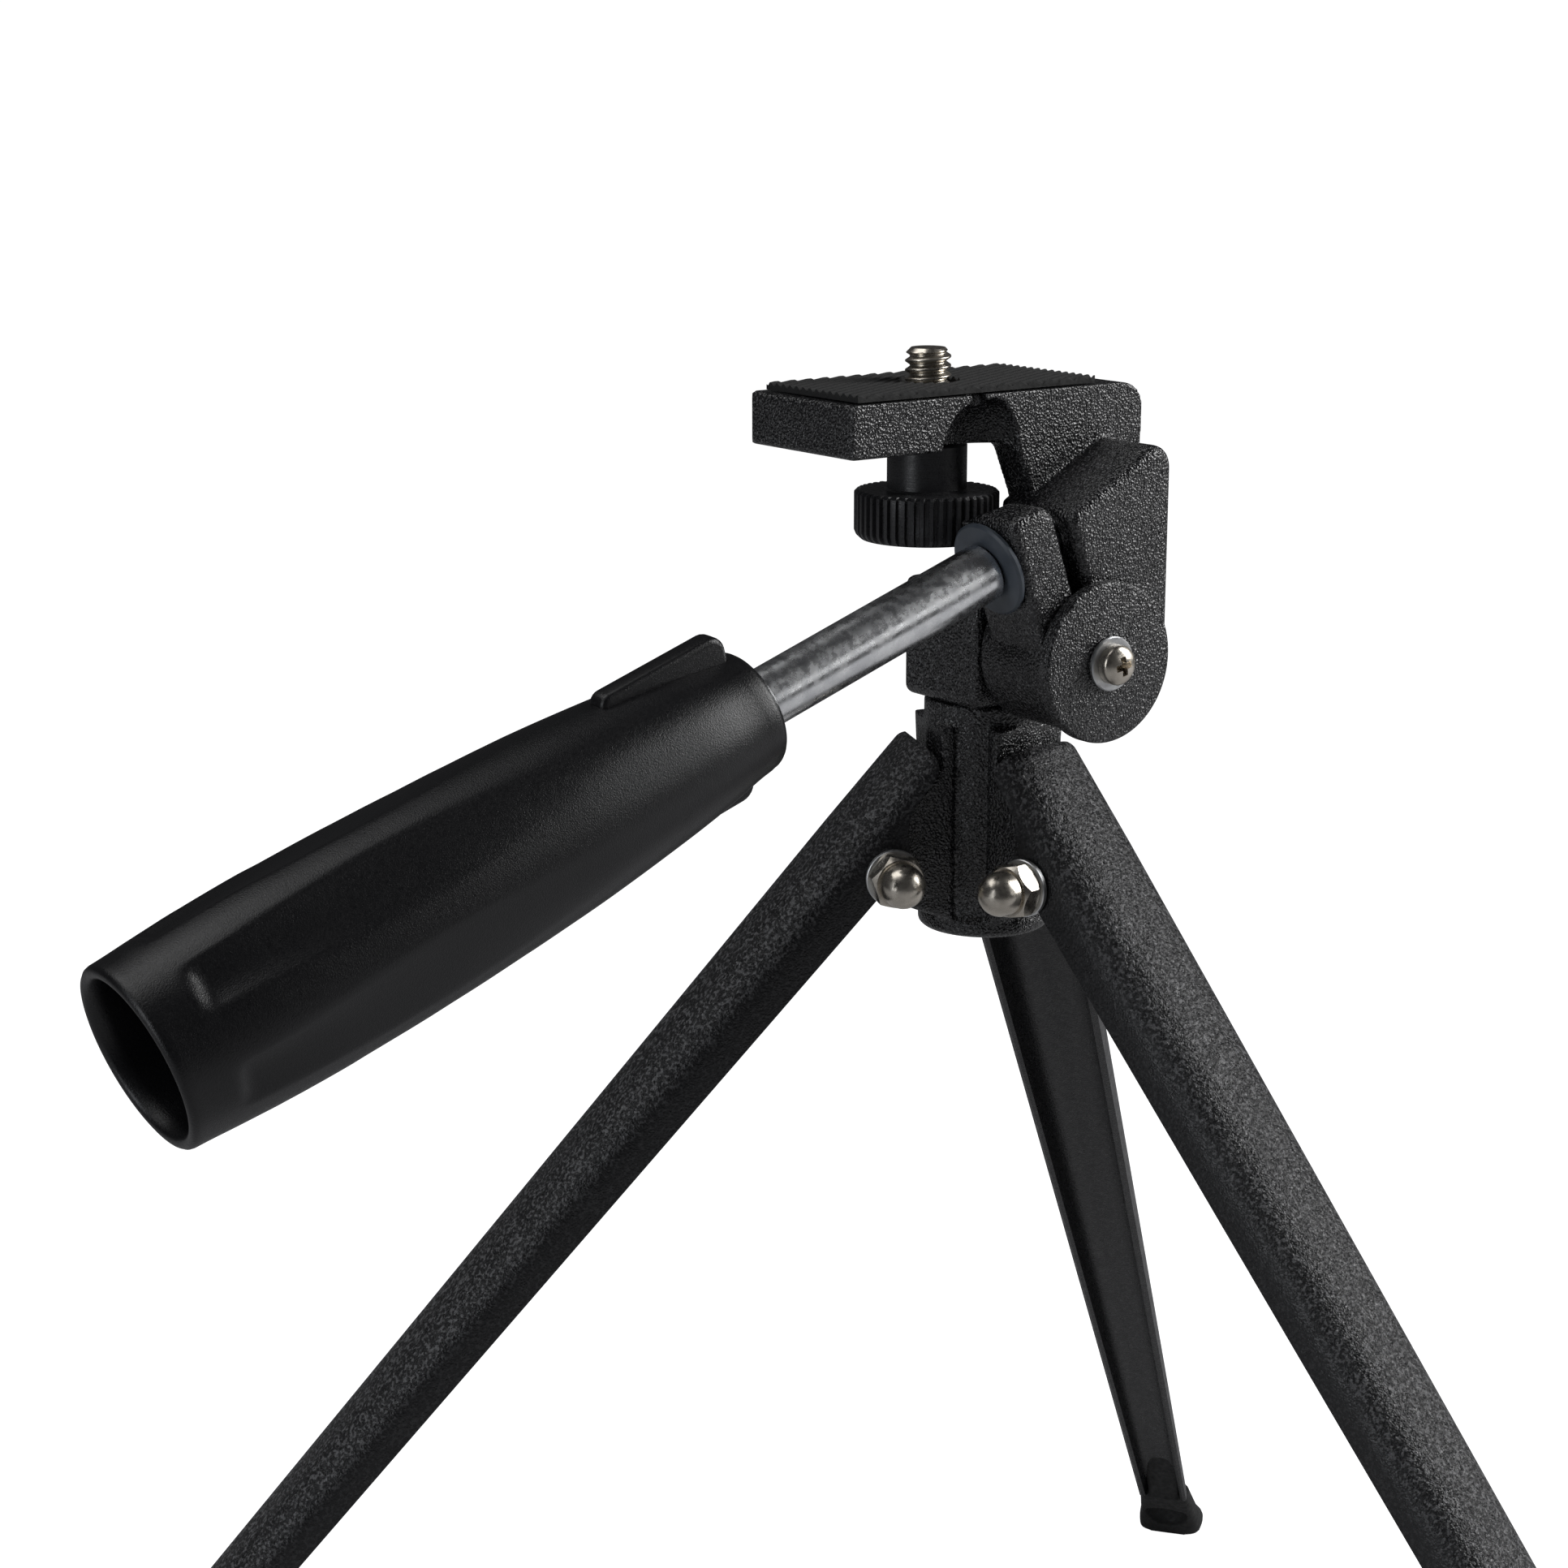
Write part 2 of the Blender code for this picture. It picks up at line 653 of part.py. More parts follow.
def clamp_body():
    """Ring, ear and block as one plate; the slot is cut from it later."""
    right = 12.9 * MM
    ear_low = math.sqrt(RING_RADIUS**2 - EAR_FACE**2)
    ear_start = clamp_point(EAR_FACE, ear_low)
    start_angle = math.degrees(math.atan2(ear_start[1], ear_start[0]))
    block_top = 30.6 * MM
    outline = [
        *arc((0.0, 0.0), RING_RADIUS, start_angle, 346.0, 26),
        (right, 1.2 * MM),
        (right, block_top - 2.4 * MM),
        (right - 0.7 * MM, block_top - 1.1 * MM),
        (right - 2.2 * MM, block_top - 1.25 * MM),
        clamp_point(2.6 * MM, 21.5 * MM),
        clamp_point(0.9 * MM, 20.2 * MM),
        clamp_point(-0.9 * MM, EAR_TOP),
        clamp_point(EAR_FACE + 1.4 * MM, EAR_TOP),
        clamp_point(EAR_FACE + 0.4 * MM, EAR_TOP - 0.4 * MM),
        clamp_point(EAR_FACE, EAR_TOP - 1.4 * MM),
    ]
    body = facing_side("clamp_body", outline, RING_NEAR, RING_FAR, TILT)
    bevel(body, 0.5 * MM, 1, 60.0)
    return body


def arm():
    """The web from the platform down to the clamp."""
    drop = PLATFORM_TOP - TILT_HEIGHT
    outline = [
        (-9.0 * MM, drop - 5.0 * MM),
        (-5.2 * MM, drop - 9.0 * MM),
        (-2.6 * MM, drop - 14.6 * MM),
        (-2.0 * MM, drop - 19.5 * MM),
        (11.0 * MM, drop - 19.5 * MM),
        (17.1 * MM, drop - 9.5 * MM),
        (17.1 * MM, drop - 4.0 * MM),
    ]
    web = facing_side("arm_web", outline, -PLATFORM_HALF_WIDTH + 0.05 * MM, -5.8 * MM, TILT)
    bevel(web, 0.8 * MM, 2)
    return web


def scoop():
    """The hollow under the platform's near edge, where its side meets the arm."""
    bm = bmesh.new()
    bmesh.ops.create_uvsphere(bm, u_segments=20, v_segments=12, radius=1.0)
    bmesh.ops.scale(bm, vec=(6.6 * MM, 5.6 * MM, 8.6 * MM), verts=bm.verts[:])
    centre = (-11.2 * MM - TILT_X, -11.3 * MM, PLATFORM_TOP - TILT_HEIGHT - 9.2 * MM)
    return add("platform_scoop", mesh_from("platform_scoop", bm), TILT, Matrix.Translation(centre))


def wheel_relief():
    """Room for the thumb wheel beside the clamp's ear."""
    x = SCREW_X - TILT_X
    low = WHEEL_BOTTOM - TILT_HEIGHT - 1.0 * MM
    high = WHEEL_TOP - TILT_HEIGHT + 0.8 * MM
    return cylinder("wheel_relief", WHEEL_RADIUS + 0.5 * MM, (x, 0, low), (x, 0, high), TILT, 40)


def tilt_casting():
    top = PLATFORM_TOP - TILT_HEIGHT
    bottom = top - PLATFORM_THICKNESS
    left = PLATFORM_LEFT - TILT_X
    right = PLATFORM_RIGHT - TILT_X
    corner = 3.4 * MM
    outline = [
        (left, bottom),
        (right, bottom),
        *arc((right - corner, top - corner), corner, 8, 90, 5),
        (left, top),
    ]
    made = facing_side("tilt_casting", outline, -PLATFORM_HALF_WIDTH, PLATFORM_HALF_WIDTH, TILT)
    bevel(made, 0.9 * MM, 2)
    join(
        made,
        arm(),
        clamp_body(),
    )
    slot_low = clamp_point(-SLOT_WIDTH / 2, 2.0 * MM)
    slot_high = clamp_point(-SLOT_WIDTH / 2, 40.0 * MM)
    slot_right_high = clamp_point(SLOT_WIDTH / 2, 40.0 * MM)
    slot_right_low = clamp_point(SLOT_WIDTH / 2, 2.0 * MM)
    slot_outline = [slot_low, slot_right_low, slot_right_high, slot_high]
    rod_axis = HANDLE_OFFSET
    rod_start = clamp_point(-30 * MM, rod_axis)
    rod_slot = clamp_point(0.0, rod_axis)
    rod_deep = clamp_point(10.5 * MM, rod_axis)
    screw_x = SCREW_X - TILT_X
    cut(
        made,
        scoop(),
        wheel_relief(),
        cylinder("barrel_bore", BARREL_RADIUS + 0.25 * MM, (0, -5 * MM, 0), (0, -40 * MM, 0), TILT, 36),
        facing_side("clamp_slot", slot_outline, -30 * MM, -9.0 * MM, TILT),
        cylinder("ear_rod_hole", ROD_THREAD_RADIUS + 0.4 * MM, (rod_start[0], HANDLE_Y, rod_start[1]),
                 (rod_slot[0], HANDLE_Y, rod_slot[1]), TILT, 24),
        cylinder("block_thread_hole", ROD_THREAD_RADIUS + GAP, (rod_slot[0], HANDLE_Y, rod_slot[1]),
                 (rod_deep[0], HANDLE_Y, rod_deep[1]), TILT, 24),
        cylinder("screw_hole", SCREW_RADIUS + 0.5 * MM, (screw_x, 0, bottom - MM),
                 (screw_x, 0, top + MM), TILT, 24),
        cylinder("clip_recess", 5.2 * MM, (screw_x, 0, top - 1.2 * MM), (screw_x, 0, top + MM), TILT),
    )
    paint(made, COAT)


def tilt_end_cap():
    """The disc that keeps the clamp on the barrel, with its screw and washer."""
    near = RING_NEAR - GAP
    edge = 0.45 * MM
    turn = Matrix.Rotation(math.pi / 2, 4, "X")
    start = -near
    end = start + CAP_THICKNESS
    profile = [
        (0.0, end),
        (CAP_RADIUS - edge, end),
        (CAP_RADIUS, end - edge),
        (CAP_RADIUS, start),
        (0.0, start),
    ]
    cap_axis = Matrix.Translation((TILT_X, 0, TILT_HEIGHT - NECK_TOP)) @ turn
    cap = turned("tilt_end_cap", profile, PAN, cap_axis, 44)
    hole_low = (TILT_X, near + 5 * MM, TILT_HEIGHT - NECK_TOP)
    hole_high = (TILT_X, near - 9 * MM, TILT_HEIGHT - NECK_TOP)
    cut(cap, cylinder("cap_hole", 1.75 * MM, hole_low, hole_high, PAN, 16))
    paint(cap, COAT)

    washer_start = end + 0.1 * MM
    washer_end = washer_start + 0.7 * MM
    radius = 3.75 * MM
    washer_profile = [(0.0, washer_end), (radius, washer_end), (radius, washer_start), (0.0, washer_start)]
    washer = turned("tilt_screw_washer", washer_profile, PAN, cap_axis, 32)
    cut(washer, cylinder("tilt_washer_hole", 1.75 * MM, hole_low, hole_high, PAN, 16))
    paint(washer, ZINC_PLATE)

    head_start = washer_end + 0.1 * MM
    head_radius = 2.75 * MM
    screw_profile = [
        (0.0, head_start + 2.3 * MM),
        (1.4 * MM, head_start + 2.2 * MM),
        (2.3 * MM, head_start + 1.75 * MM),
        (head_radius, head_start + 1.0 * MM),
        (head_radius, head_start),
        (1.5 * MM, head_start),
        (1.5 * MM, 11.6 * MM),
        (0.0, 11.6 * MM),
    ]
    screw = turned("tilt_screw", screw_profile, PAN, cap_axis, 28)
    recess_depth = head_start + 0.7 * MM
    for name, size in (("cross_slot_a", (0.45, 1.65)), ("cross_slot_b", (1.65, 0.45))):
        x, y = size[0] * MM, size[1] * MM
        outline = [(-x, -y), (x, -y), (x, y), (-x, y)]
        cut(screw, plate(name, outline, recess_depth, head_start + 4 * MM, PAN, cap_axis))
    paint(screw, NICKEL_PLATE)


# ---------------------------------------------------------------- handle


def along_rod(start, end, radius, name, sides=28):
    return cylinder(name, radius, (-start, 0, 0), (-end, 0, 0), HANDLE, sides)


def rod_matrix():
    """Turns a profile's Z axis along the handle's local -X, away from the clamp."""
    return Matrix.Rotation(-math.pi / 2, 4, "Y")


def handle_rod():
    """The rod with its threaded end, turned as one piece. Heights run away from the clamp."""
    chamfer = 0.5 * MM
    profile = [
        (0.0, ROD_END),
        (ROD_RADIUS - chamfer, ROD_END),
        (ROD_RADIUS, ROD_END - chamfer),
        (ROD_RADIUS, ROD_SHOULDER + chamfer),
        (ROD_RADIUS - chamfer, ROD_SHOULDER),
        (ROD_THREAD_RADIUS, ROD_SHOULDER),
        (ROD_THREAD_RADIUS, ROD_TIP + chamfer),
        (ROD_THREAD_RADIUS - chamfer, ROD_TIP),
        (0.0, ROD_TIP),
    ]
    rod = turned("handle_rod", profile, HANDLE, rod_matrix(), 28)
    paint(rod, CHROME_PLATE)


def handle_washer():
    """The nylon washer between the rod's shoulder and the clamp's ear."""
    near = -EAR_FACE + GAP
    washer = along_rod(near, ROD_SHOULDER - GAP, 6.6 * MM, "handle_washer", 32)
    cut(washer, along_rod(0.0, 20 * MM, ROD_THREAD_RADIUS + 0.3 * MM, "handle_washer_hole", 24))
    paint(washer, NYLON_SHEET)


def grip_rib(name, turn, rear, front, crest):
    """A raised finger rib near the front of the grip, between two distances along the rod."""
    root = 7.5 * MM
    outline = [
        (-rear, root),
        (-rear, crest - 1.2 * MM),
        (-rear + 0.8 * MM, crest),
        (-front - 2.0 * MM, crest),
        (-front - 0.6 * MM, crest - 0.9 * MM),
        (-front, root),
    ]
    upright = Matrix.Rotation(math.radians(turn), 4, "X") @ Matrix.Rotation(math.pi / 2, 4, "X")
    rib = plate(name, outline, -1.6 * MM, 1.6 * MM, HANDLE, upright)
    bevel(rib, 0.5 * MM, 1)
    return rib


def handle_grip():
    outside = [(radius * MM, GRIP_FRONT + distance * MM) for distance, radius in GRIP_PROFILE]
    mouth = outside[-1][0] - 0.6 * MM
    floor = GRIP_REAR - GRIP_CAVITY_DEPTH
    inside = [
        (mouth - 0.3 * MM, GRIP_REAR),
        (mouth - 0.6 * MM, GRIP_REAR - 1.0 * MM),
        (10.4 * MM, floor + 6 * MM),
        (9.6 * MM, floor),
        (0.0, floor),
    ]
    profile = inside[::-1] + outside[::-1] + [(0.0, GRIP_FRONT)]
    grip = turned("handle_grip", profile, HANDLE, rod_matrix(), 32)
    join(
        grip,
        grip_rib("grip_rib_top", RIB_TURN, 72.6 * MM, 53.6 * MM, 11.9 * MM),
        grip_rib("grip_rib_bottom", RIB_TURN + 188.0, 72.6 * MM, 56.0 * MM, 11.4 * MM),
    )
    cut(grip, along_rod(GRIP_FRONT - 5 * MM, GRIP_REAR, ROD_RADIUS + GAP, "grip_bore", 28))
    paint(grip, PLASTIC)


# ---------------------------------------------------------------- platform fittings


def platform_pad():
    low = PLATFORM_TOP - TILT_HEIGHT + GAP
    pad = block(
        "platform_pad",
        (-31.3 * MM - TILT_X, -10.3 * MM, low),
        (9.9 * MM - TILT_X, 9.9 * MM, low + PAD_THICKNESS),
        TILT,
    )
    centre = SCREW_X - TILT_X
    cut(pad, cylinder("pad_hole", 4.4 * MM, (centre, 0, low - MM), (centre, 0, low + 3 * MM), TILT, 28))
    paint(pad, RUBBER)


def camera_screw():
    """The quarter inch screw, its clip and the thumb wheel pressed on it."""
    wheel_top = WHEEL_TOP - PLATFORM_TOP
    wheel_bottom = WHEEL_BOTTOM - PLATFORM_TOP
    top = SCREW_TOP - PLATFORM_TOP
    screw_profile = [
        (0.0, top),
        (2.3 * MM, top),
        (SCREW_RADIUS, top - 0.8 * MM),
        (SCREW_RADIUS, wheel_bottom - 0.6 * MM),
        (0.0, wheel_bottom - 0.6 * MM),
    ]
    screw = turned("camera_screw", screw_profile, SCREW, steps=32)
    paint(screw, NICKEL_PLATE)

    boss_top = -PLATFORM_THICKNESS - 0.3 * MM
    wheel_profile = [
        (0.0, boss_top),
        (BOSS_RADIUS, boss_top),
        (BOSS_RADIUS, wheel_top),
        (WHEEL_RADIUS - 0.4 * MM, wheel_top),
        (WHEEL_RADIUS, wheel_top - 0.4 * MM),
        (WHEEL_RADIUS, wheel_bottom + 0.9 * MM),
        (WHEEL_RADIUS - 0.9 * MM, wheel_bottom),
        (0.0, wheel_bottom),
    ]
    wheel = turned("thumb_wheel", wheel_profile, SCREW, steps=40)
    cut(wheel, cylinder("wheel_bore", SCREW_RADIUS + 0.1 * MM, (0, 0, 0), (0, 0, -30 * MM), SCREW, 32))
    paint(wheel, WHEEL_PLASTIC)

    clip_low = -0.9 * MM
    clip = cylinder("screw_clip", 4.8 * MM, (0, 0, clip_low), (0, 0, clip_low + 0.6 * MM), SCREW, 32)
    cut(clip, cylinder("clip_hole", SCREW_RADIUS + 0.1 * MM, (0, 0, -3 * MM), (0, 0, 3 * MM), SCREW, 32))
    paint(clip, SPRING_STEEL)


def build():
    hub_casting()
    for side in LEG_AZIMUTHS:
        hinge = leg_frame(side)
        leg(side, hinge)
        foot(side, hinge)
        hinge_fasteners(side, hinge)
    pan_block()
    pan_fasteners()
    tilt_casting()
    tilt_end_cap()
    handle_rod()
    handle_washer()
    handle_grip()
    platform_pad()
    camera_screw()


build()
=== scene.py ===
"""The looks of the tabletop tripod: its finished surfaces, the studio and the camera.

Sizes are in metres. Each piece is built in its own frame and placed by that frame's matrix, which
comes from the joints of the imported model.
"""

import json
import math

import bmesh
import bpy
from mathutils import Euler, Matrix, Vector

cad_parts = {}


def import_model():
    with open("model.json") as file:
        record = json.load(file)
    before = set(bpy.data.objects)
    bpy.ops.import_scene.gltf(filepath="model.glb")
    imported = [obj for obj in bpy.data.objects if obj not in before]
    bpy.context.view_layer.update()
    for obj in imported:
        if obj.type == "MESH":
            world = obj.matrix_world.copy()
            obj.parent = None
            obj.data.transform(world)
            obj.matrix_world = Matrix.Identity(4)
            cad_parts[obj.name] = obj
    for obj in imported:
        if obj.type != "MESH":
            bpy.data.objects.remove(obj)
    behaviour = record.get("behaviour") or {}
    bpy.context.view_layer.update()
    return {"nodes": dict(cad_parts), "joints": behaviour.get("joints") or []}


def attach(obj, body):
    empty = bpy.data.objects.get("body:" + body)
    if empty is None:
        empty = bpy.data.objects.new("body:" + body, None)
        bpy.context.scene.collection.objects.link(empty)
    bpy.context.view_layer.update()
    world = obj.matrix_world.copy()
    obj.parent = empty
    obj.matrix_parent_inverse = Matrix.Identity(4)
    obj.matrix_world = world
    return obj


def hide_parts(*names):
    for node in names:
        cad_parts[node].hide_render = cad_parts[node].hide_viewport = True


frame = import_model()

MM = 0.001

# ---------------------------------------------------------------- frames, from the joints

JOINTS = {joint["name"]: joint for joint in frame["joints"]}
PAN_AT = Vector(JOINTS["pan_turn"]["pos_m"])
TILT_AT = Vector(JOINTS["head_tilt"]["pos_m"])
HANDLE_AT = Vector(JOINTS["handle_twist"]["pos_m"])
SCREW_AT = Vector(JOINTS["camera_screw_spin"]["pos_m"])
HANDLE_AXIS = -Vector(JOINTS["handle_twist"]["axis"])
DIP = math.atan2(HANDLE_AXIS.z, HANDLE_AXIS.x)
TOP = SCREW_AT.z
SIDES = ("back", "left", "right")
LEG_SPREAD = math.radians(JOINTS["leg_left_fold"]["range_deg"][1])

HUB = Matrix.Translation((PAN_AT.x, PAN_AT.y, TOP))
HANDLE = Matrix.Translation(HANDLE_AT) @ Matrix.Rotation(-DIP, 4, "Y")
SCREW = Matrix.Translation(SCREW_AT)
BARREL = (
    Matrix.Translation((TILT_AT.x, TILT_AT.y, TILT_AT.z)) @ Matrix.Rotation(math.pi / 2, 4, "X")
)
ROD = HANDLE @ Matrix.Rotation(-math.pi / 2, 4, "Y")


def leg_azimuth(side):
    axis = JOINTS[f"leg_{side}_fold"]["axis"]
    return math.atan2(-axis[0], axis[1])


def leg_matrix(side):
    """On the hinge bolt: local X runs down the leg, local Y outwards from its back."""
    azimuth = leg_azimuth(side)
    outward = Vector((math.cos(azimuth), math.sin(azimuth), 0.0))
    up = Vector((0.0, 0.0, 1.0))
    along = outward * math.sin(LEG_SPREAD) - up * math.cos(LEG_SPREAD)
    back = outward * math.cos(LEG_SPREAD) + up * math.sin(LEG_SPREAD)
    turn = Matrix((along, back, along.cross(back))).transposed().to_4x4()
    return Matrix.Translation(JOINTS[f"leg_{side}_fold"]["pos_m"]) @ turn


# ---------------------------------------------------------------- shapes


def new_object(name, bm, matrix, angle=35.0):
    bmesh.ops.recalc_face_normals(bm, faces=bm.faces[:])
    mesh = bpy.data.meshes.new(name)
    bm.to_mesh(mesh)
    bm.free()
    mesh.shade_smooth()
    mesh.set_sharp_from_angle(angle=math.radians(angle))
    obj = bpy.data.objects.new(name, mesh)
    bpy.context.scene.collection.objects.link(obj)
    obj.matrix_world = matrix
    return obj


def applied(obj, angle=35.0):
    """Makes an object's modifiers part of its mesh."""
    bpy.context.view_layer.update()
    graph = bpy.context.evaluated_depsgraph_get()
    mesh = bpy.data.meshes.new_from_object(obj.evaluated_get(graph))
    obj.modifiers.clear()
    obj.data = mesh
    mesh.shade_smooth()
    mesh.set_sharp_from_angle(angle=math.radians(angle))
    return obj


def box(name, low, high, matrix, edge=0.0, segments=3):
    low, high = Vector(low), Vector(high)
    bm = bmesh.new()
    bmesh.ops.create_cube(bm, size=1.0)
    bmesh.ops.scale(bm, vec=high - low, verts=bm.verts[:])
    bmesh.ops.translate(bm, vec=(high + low) / 2, verts=bm.verts[:])
    if edge:
        bmesh.ops.bevel(
            bm, geom=bm.edges[:], offset=edge, segments=segments, affect="EDGES", profile=0.5
        )
    return new_object(name, bm, matrix)


def arc(centre, radius, start, end, count):
    """Points of an arc in degrees, both ends included."""
    angles = [math.radians(start + (end - start) * i / count) for i in range(count + 1)]
    return [(centre[0] + radius * math.cos(a), centre[1] + radius * math.sin(a)) for a in angles]


def turned(name, profile, matrix, steps=96, loop=False, angle=35.0):
    """A turned solid about Z from (radius, height) points. A looped profile makes a ring."""
    bm = bmesh.new()
    rings = []
    for radius, height in profile:
        if radius < 1e-7:
            rings.append([bm.verts.new((0.0, 0.0, height))])
            continue
        turns = [math.tau * i / steps for i in range(steps)]
        rings.append([bm.verts.new((radius * math.cos(t), radius * math.sin(t), height)) for t in turns])
    pairs = list(zip(rings, rings[1:]))
    if loop:
        pairs.append((rings[-1], rings[0]))
    for ring, following in pairs:
        bridge(bm, ring, following)
    return new_object(name, bm, matrix, angle)


def bridge(bm, ring, following):
    """Faces between two rings, either of which may be a single point on the axis."""
    count = max(len(ring), len(following))
    if count == 1:
        return
    for i in range(count):
        j = (i + 1) % count
        corners = [ring[i % len(ring)], ring[j % len(ring)]]
        corners += [following[j % len(following)], following[i % len(following)]]
        distinct = list(dict.fromkeys(corners))
        bm.faces.new(distinct)


def loft(name, sections, matrix, capped=True, looped=False, angle=40.0):
    """A closed skin through sections that have the same number of points."""
    bm = bmesh.new()
    rings = [[bm.verts.new(point) for point in section] for section in sections]
    pairs = list(zip(rings, rings[1:]))
    if looped:
        pairs.append((rings[-1], rings[0]))
    for ring, following in pairs:
        bridge(bm, ring, following)
    if capped and not looped:
        bm.faces.new(rings[0][::-1])
        bm.faces.new(rings[-1])
    return new_object(name, bm, matrix, angle)


def plate(name, outline, low, high, matrix, edge=0.0, segments=3):
    """A flat outline in the XY plane, as thick as from low to high along Z."""
    bm = bmesh.new()
    bottom = [bm.verts.new((x, y, low)) for x, y in outline]
    base = bm.faces.new(bottom)
    raised = bmesh.ops.extrude_face_region(bm, geom=[base])
    tops = [item for item in raised["geom"] if isinstance(item, bmesh.types.BMVert)]
    bmesh.ops.translate(bm, vec=(0, 0, high - low), verts=tops)
    bmesh.ops.recalc_face_normals(bm, faces=bm.faces[:])
    if edge:
        rims = [e for e in bm.edges if abs(e.verts[0].co.z - e.verts[1].co.z) < 1e-9]
        bmesh.ops.bevel(bm, geom=rims, offset=edge, segments=segments, affect="EDGES", profile=0.5)
    return new_object(name, bm, matrix)


def facing_side(name, outline, near, far, matrix, edge=0.0, segments=3):
    """A plate whose outline lies in the XZ plane, from Y = near (the lower value) to far."""
    upright = matrix @ Matrix.Rotation(math.pi / 2, 4, "X")
    return plate(name, outline, -far, -near, upright, edge, segments)


def rod_between(name, radius, start, end, matrix, sides=64):
    start, end = Vector(start), Vector(end)
    bm = bmesh.new()
    bmesh.ops.create_cone(
        bm, cap_ends=True, segments=sides, radius1=radius, radius2=radius, depth=(end - start).length
    )
    turn = (end - start).to_track_quat("Z", "Y").to_matrix().to_4x4()
    return new_object(name, bm, matrix @ Matrix.Translation((start + end) / 2) @ turn)


def ellipsoid(name, centre, radii, matrix):
    bm = bmesh.new()
    bmesh.ops.create_uvsphere(bm, u_segments=48, v_segments=32, radius=1.0)
    bmesh.ops.scale(bm, vec=radii, verts=bm.verts[:])
    return new_object(name, bm, matrix @ Matrix.Translation(centre))


def combine(obj, others, operation, angle=35.0):
    """Joins or cuts an object with others, which are used up."""
    for other in others:
        modifier = obj.modifiers.new("combine", "BOOLEAN")
        modifier.operation = operation
        modifier.object = other
        modifier.solver = "EXACT"
        applied(obj, angle)
        bpy.data.objects.remove(other)
    return obj


def cast(obj, voxel, rounds):
    """Softens every edge and corner evenly, as a casting's are."""
    remesh = obj.modifiers.new("remesh", "REMESH")
    remesh.mode = "VOXEL"
    remesh.voxel_size = voxel
    soften = obj.modifiers.new("soften", "SMOOTH")
    soften.factor = 0.5
    soften.iterations = rounds
    return applied(obj, 180.0)


def finished(obj, body, finish, slot, *nodes):
    """Gives a piece its material, its body and the CAD nodes that it stands for."""
    obj.data.materials.clear()
    obj.data.materials.append(finish)
    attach(obj, body)
    if nodes:
        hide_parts(*nodes)
    return obj


# ---------------------------------------------------------------- materials


class Shader:
    """A Principled material with short ways to wire textures into it."""

    def __init__(self, name, colour, roughness, metallic=0.0):
        self.material = bpy.data.materials.new(name)
        self.material.use_nodes = True
        self.tree = self.material.node_tree
        self.surface = self.tree.nodes["Principled BSDF"]
        self.set("Base Color", (*colour, 1.0))
        self.set("Roughness", roughness)
        self.set("Metallic", metallic)
        self.place = self.add("ShaderNodeTexCoord")

    def set(self, socket, value):
        self.surface.inputs[socket].default_value = value

    def add(self, kind, **settings):
        node = self.tree.nodes.new(kind)
        for key, value in settings.items():
            if hasattr(node, key):
                setattr(node, key, value)
            else:
                node.inputs[key.replace("_", " ")].default_value = value
        return node

    def link(self, source, target):
        self.tree.links.new(source, target)

    def coordinates(self, stretch=None):
        if stretch is None:
            return self.place.outputs["Object"]
        mapping = self.add("ShaderNodeMapping")
        mapping.inputs["Scale"].default_value = stretch
        self.link(self.place.outputs["Object"], mapping.inputs["Vector"])
        return mapping.outputs["Vector"]

    def noise(self, size, detail=2.0, roughness=0.5, stretch=None, distortion=0.0):
        """Noise whose grains are about size metres across."""
        node = self.add("ShaderNodeTexNoise", Scale=1.0 / size, Detail=detail, Roughness=roughness)
        node.inputs["Distortion"].default_value = distortion
        self.link(self.coordinates(stretch), node.inputs["Vector"])
        return node.outputs["Fac"]

    def cells(self, size):
        node = self.add("ShaderNodeTexVoronoi", feature="SMOOTH_F1", Scale=1.0 / size)
        node.inputs["Smoothness"].default_value = 0.6
        self.link(self.coordinates(), node.inputs["Vector"])
        return node.outputs["Distance"]

    def math(self, operation, first, second):
        node = self.add("ShaderNodeMath", operation=operation)
        for socket, value in zip(node.inputs, (first, second)):
            if isinstance(value, (int, float)):
                socket.default_value = value
            else:
                self.link(value, socket)
        return node.outputs[0]

    def spread(self, source, low, high, new_low, new_high):
        node = self.add("ShaderNodeMapRange", clamp=True)
        for socket, value in zip(
            ("From Min", "From Max", "To Min", "To Max"), (low, high, new_low, new_high)
        ):
            node.inputs[socket].default_value = value
        self.link(source, node.inputs["Value"])
        return node.outputs["Result"]

    def mix(self, factor, first, second):
        node = self.add("ShaderNodeMix", data_type="RGBA")
        self.link(factor, node.inputs[0])
        for socket, value in ((node.inputs[6], first), (node.inputs[7], second)):
            if isinstance(value, tuple):
                socket.default_value = (*value, 1.0)
            else:
                self.link(value, socket)
        return node.outputs[2]

    def colour(self, source):
        self.link(source, self.surface.inputs["Base Color"])

    def roughness(self, source):
        self.link(source, self.surface.inputs["Roughness"])

    def bump(self, height, depth, strength=1.0, under=None):
        """Relief of a given depth in metres. strength may be a number or a socket."""
        node = self.add("ShaderNodeBump", Distance=depth)
        if isinstance(strength, (int, float)):
            node.inputs["Strength"].default_value = strength
        else:
            self.link(strength, node.inputs["Strength"])
        self.link(height, node.inputs["Height"])
        if under is not None:
            self.link(under, node.inputs["Normal"])
        return node.outputs["Normal"]

    def normal(self, source):
        self.link(source, self.surface.inputs["Normal"])
        return self.material

    def edges(self, low, high):
        """1 on worn outer edges, 0 elsewhere."""
        geometry = self.add("ShaderNodeNewGeometry")
        return self.spread(geometry.outputs["Pointiness"], low, high, 0.0, 1.0)


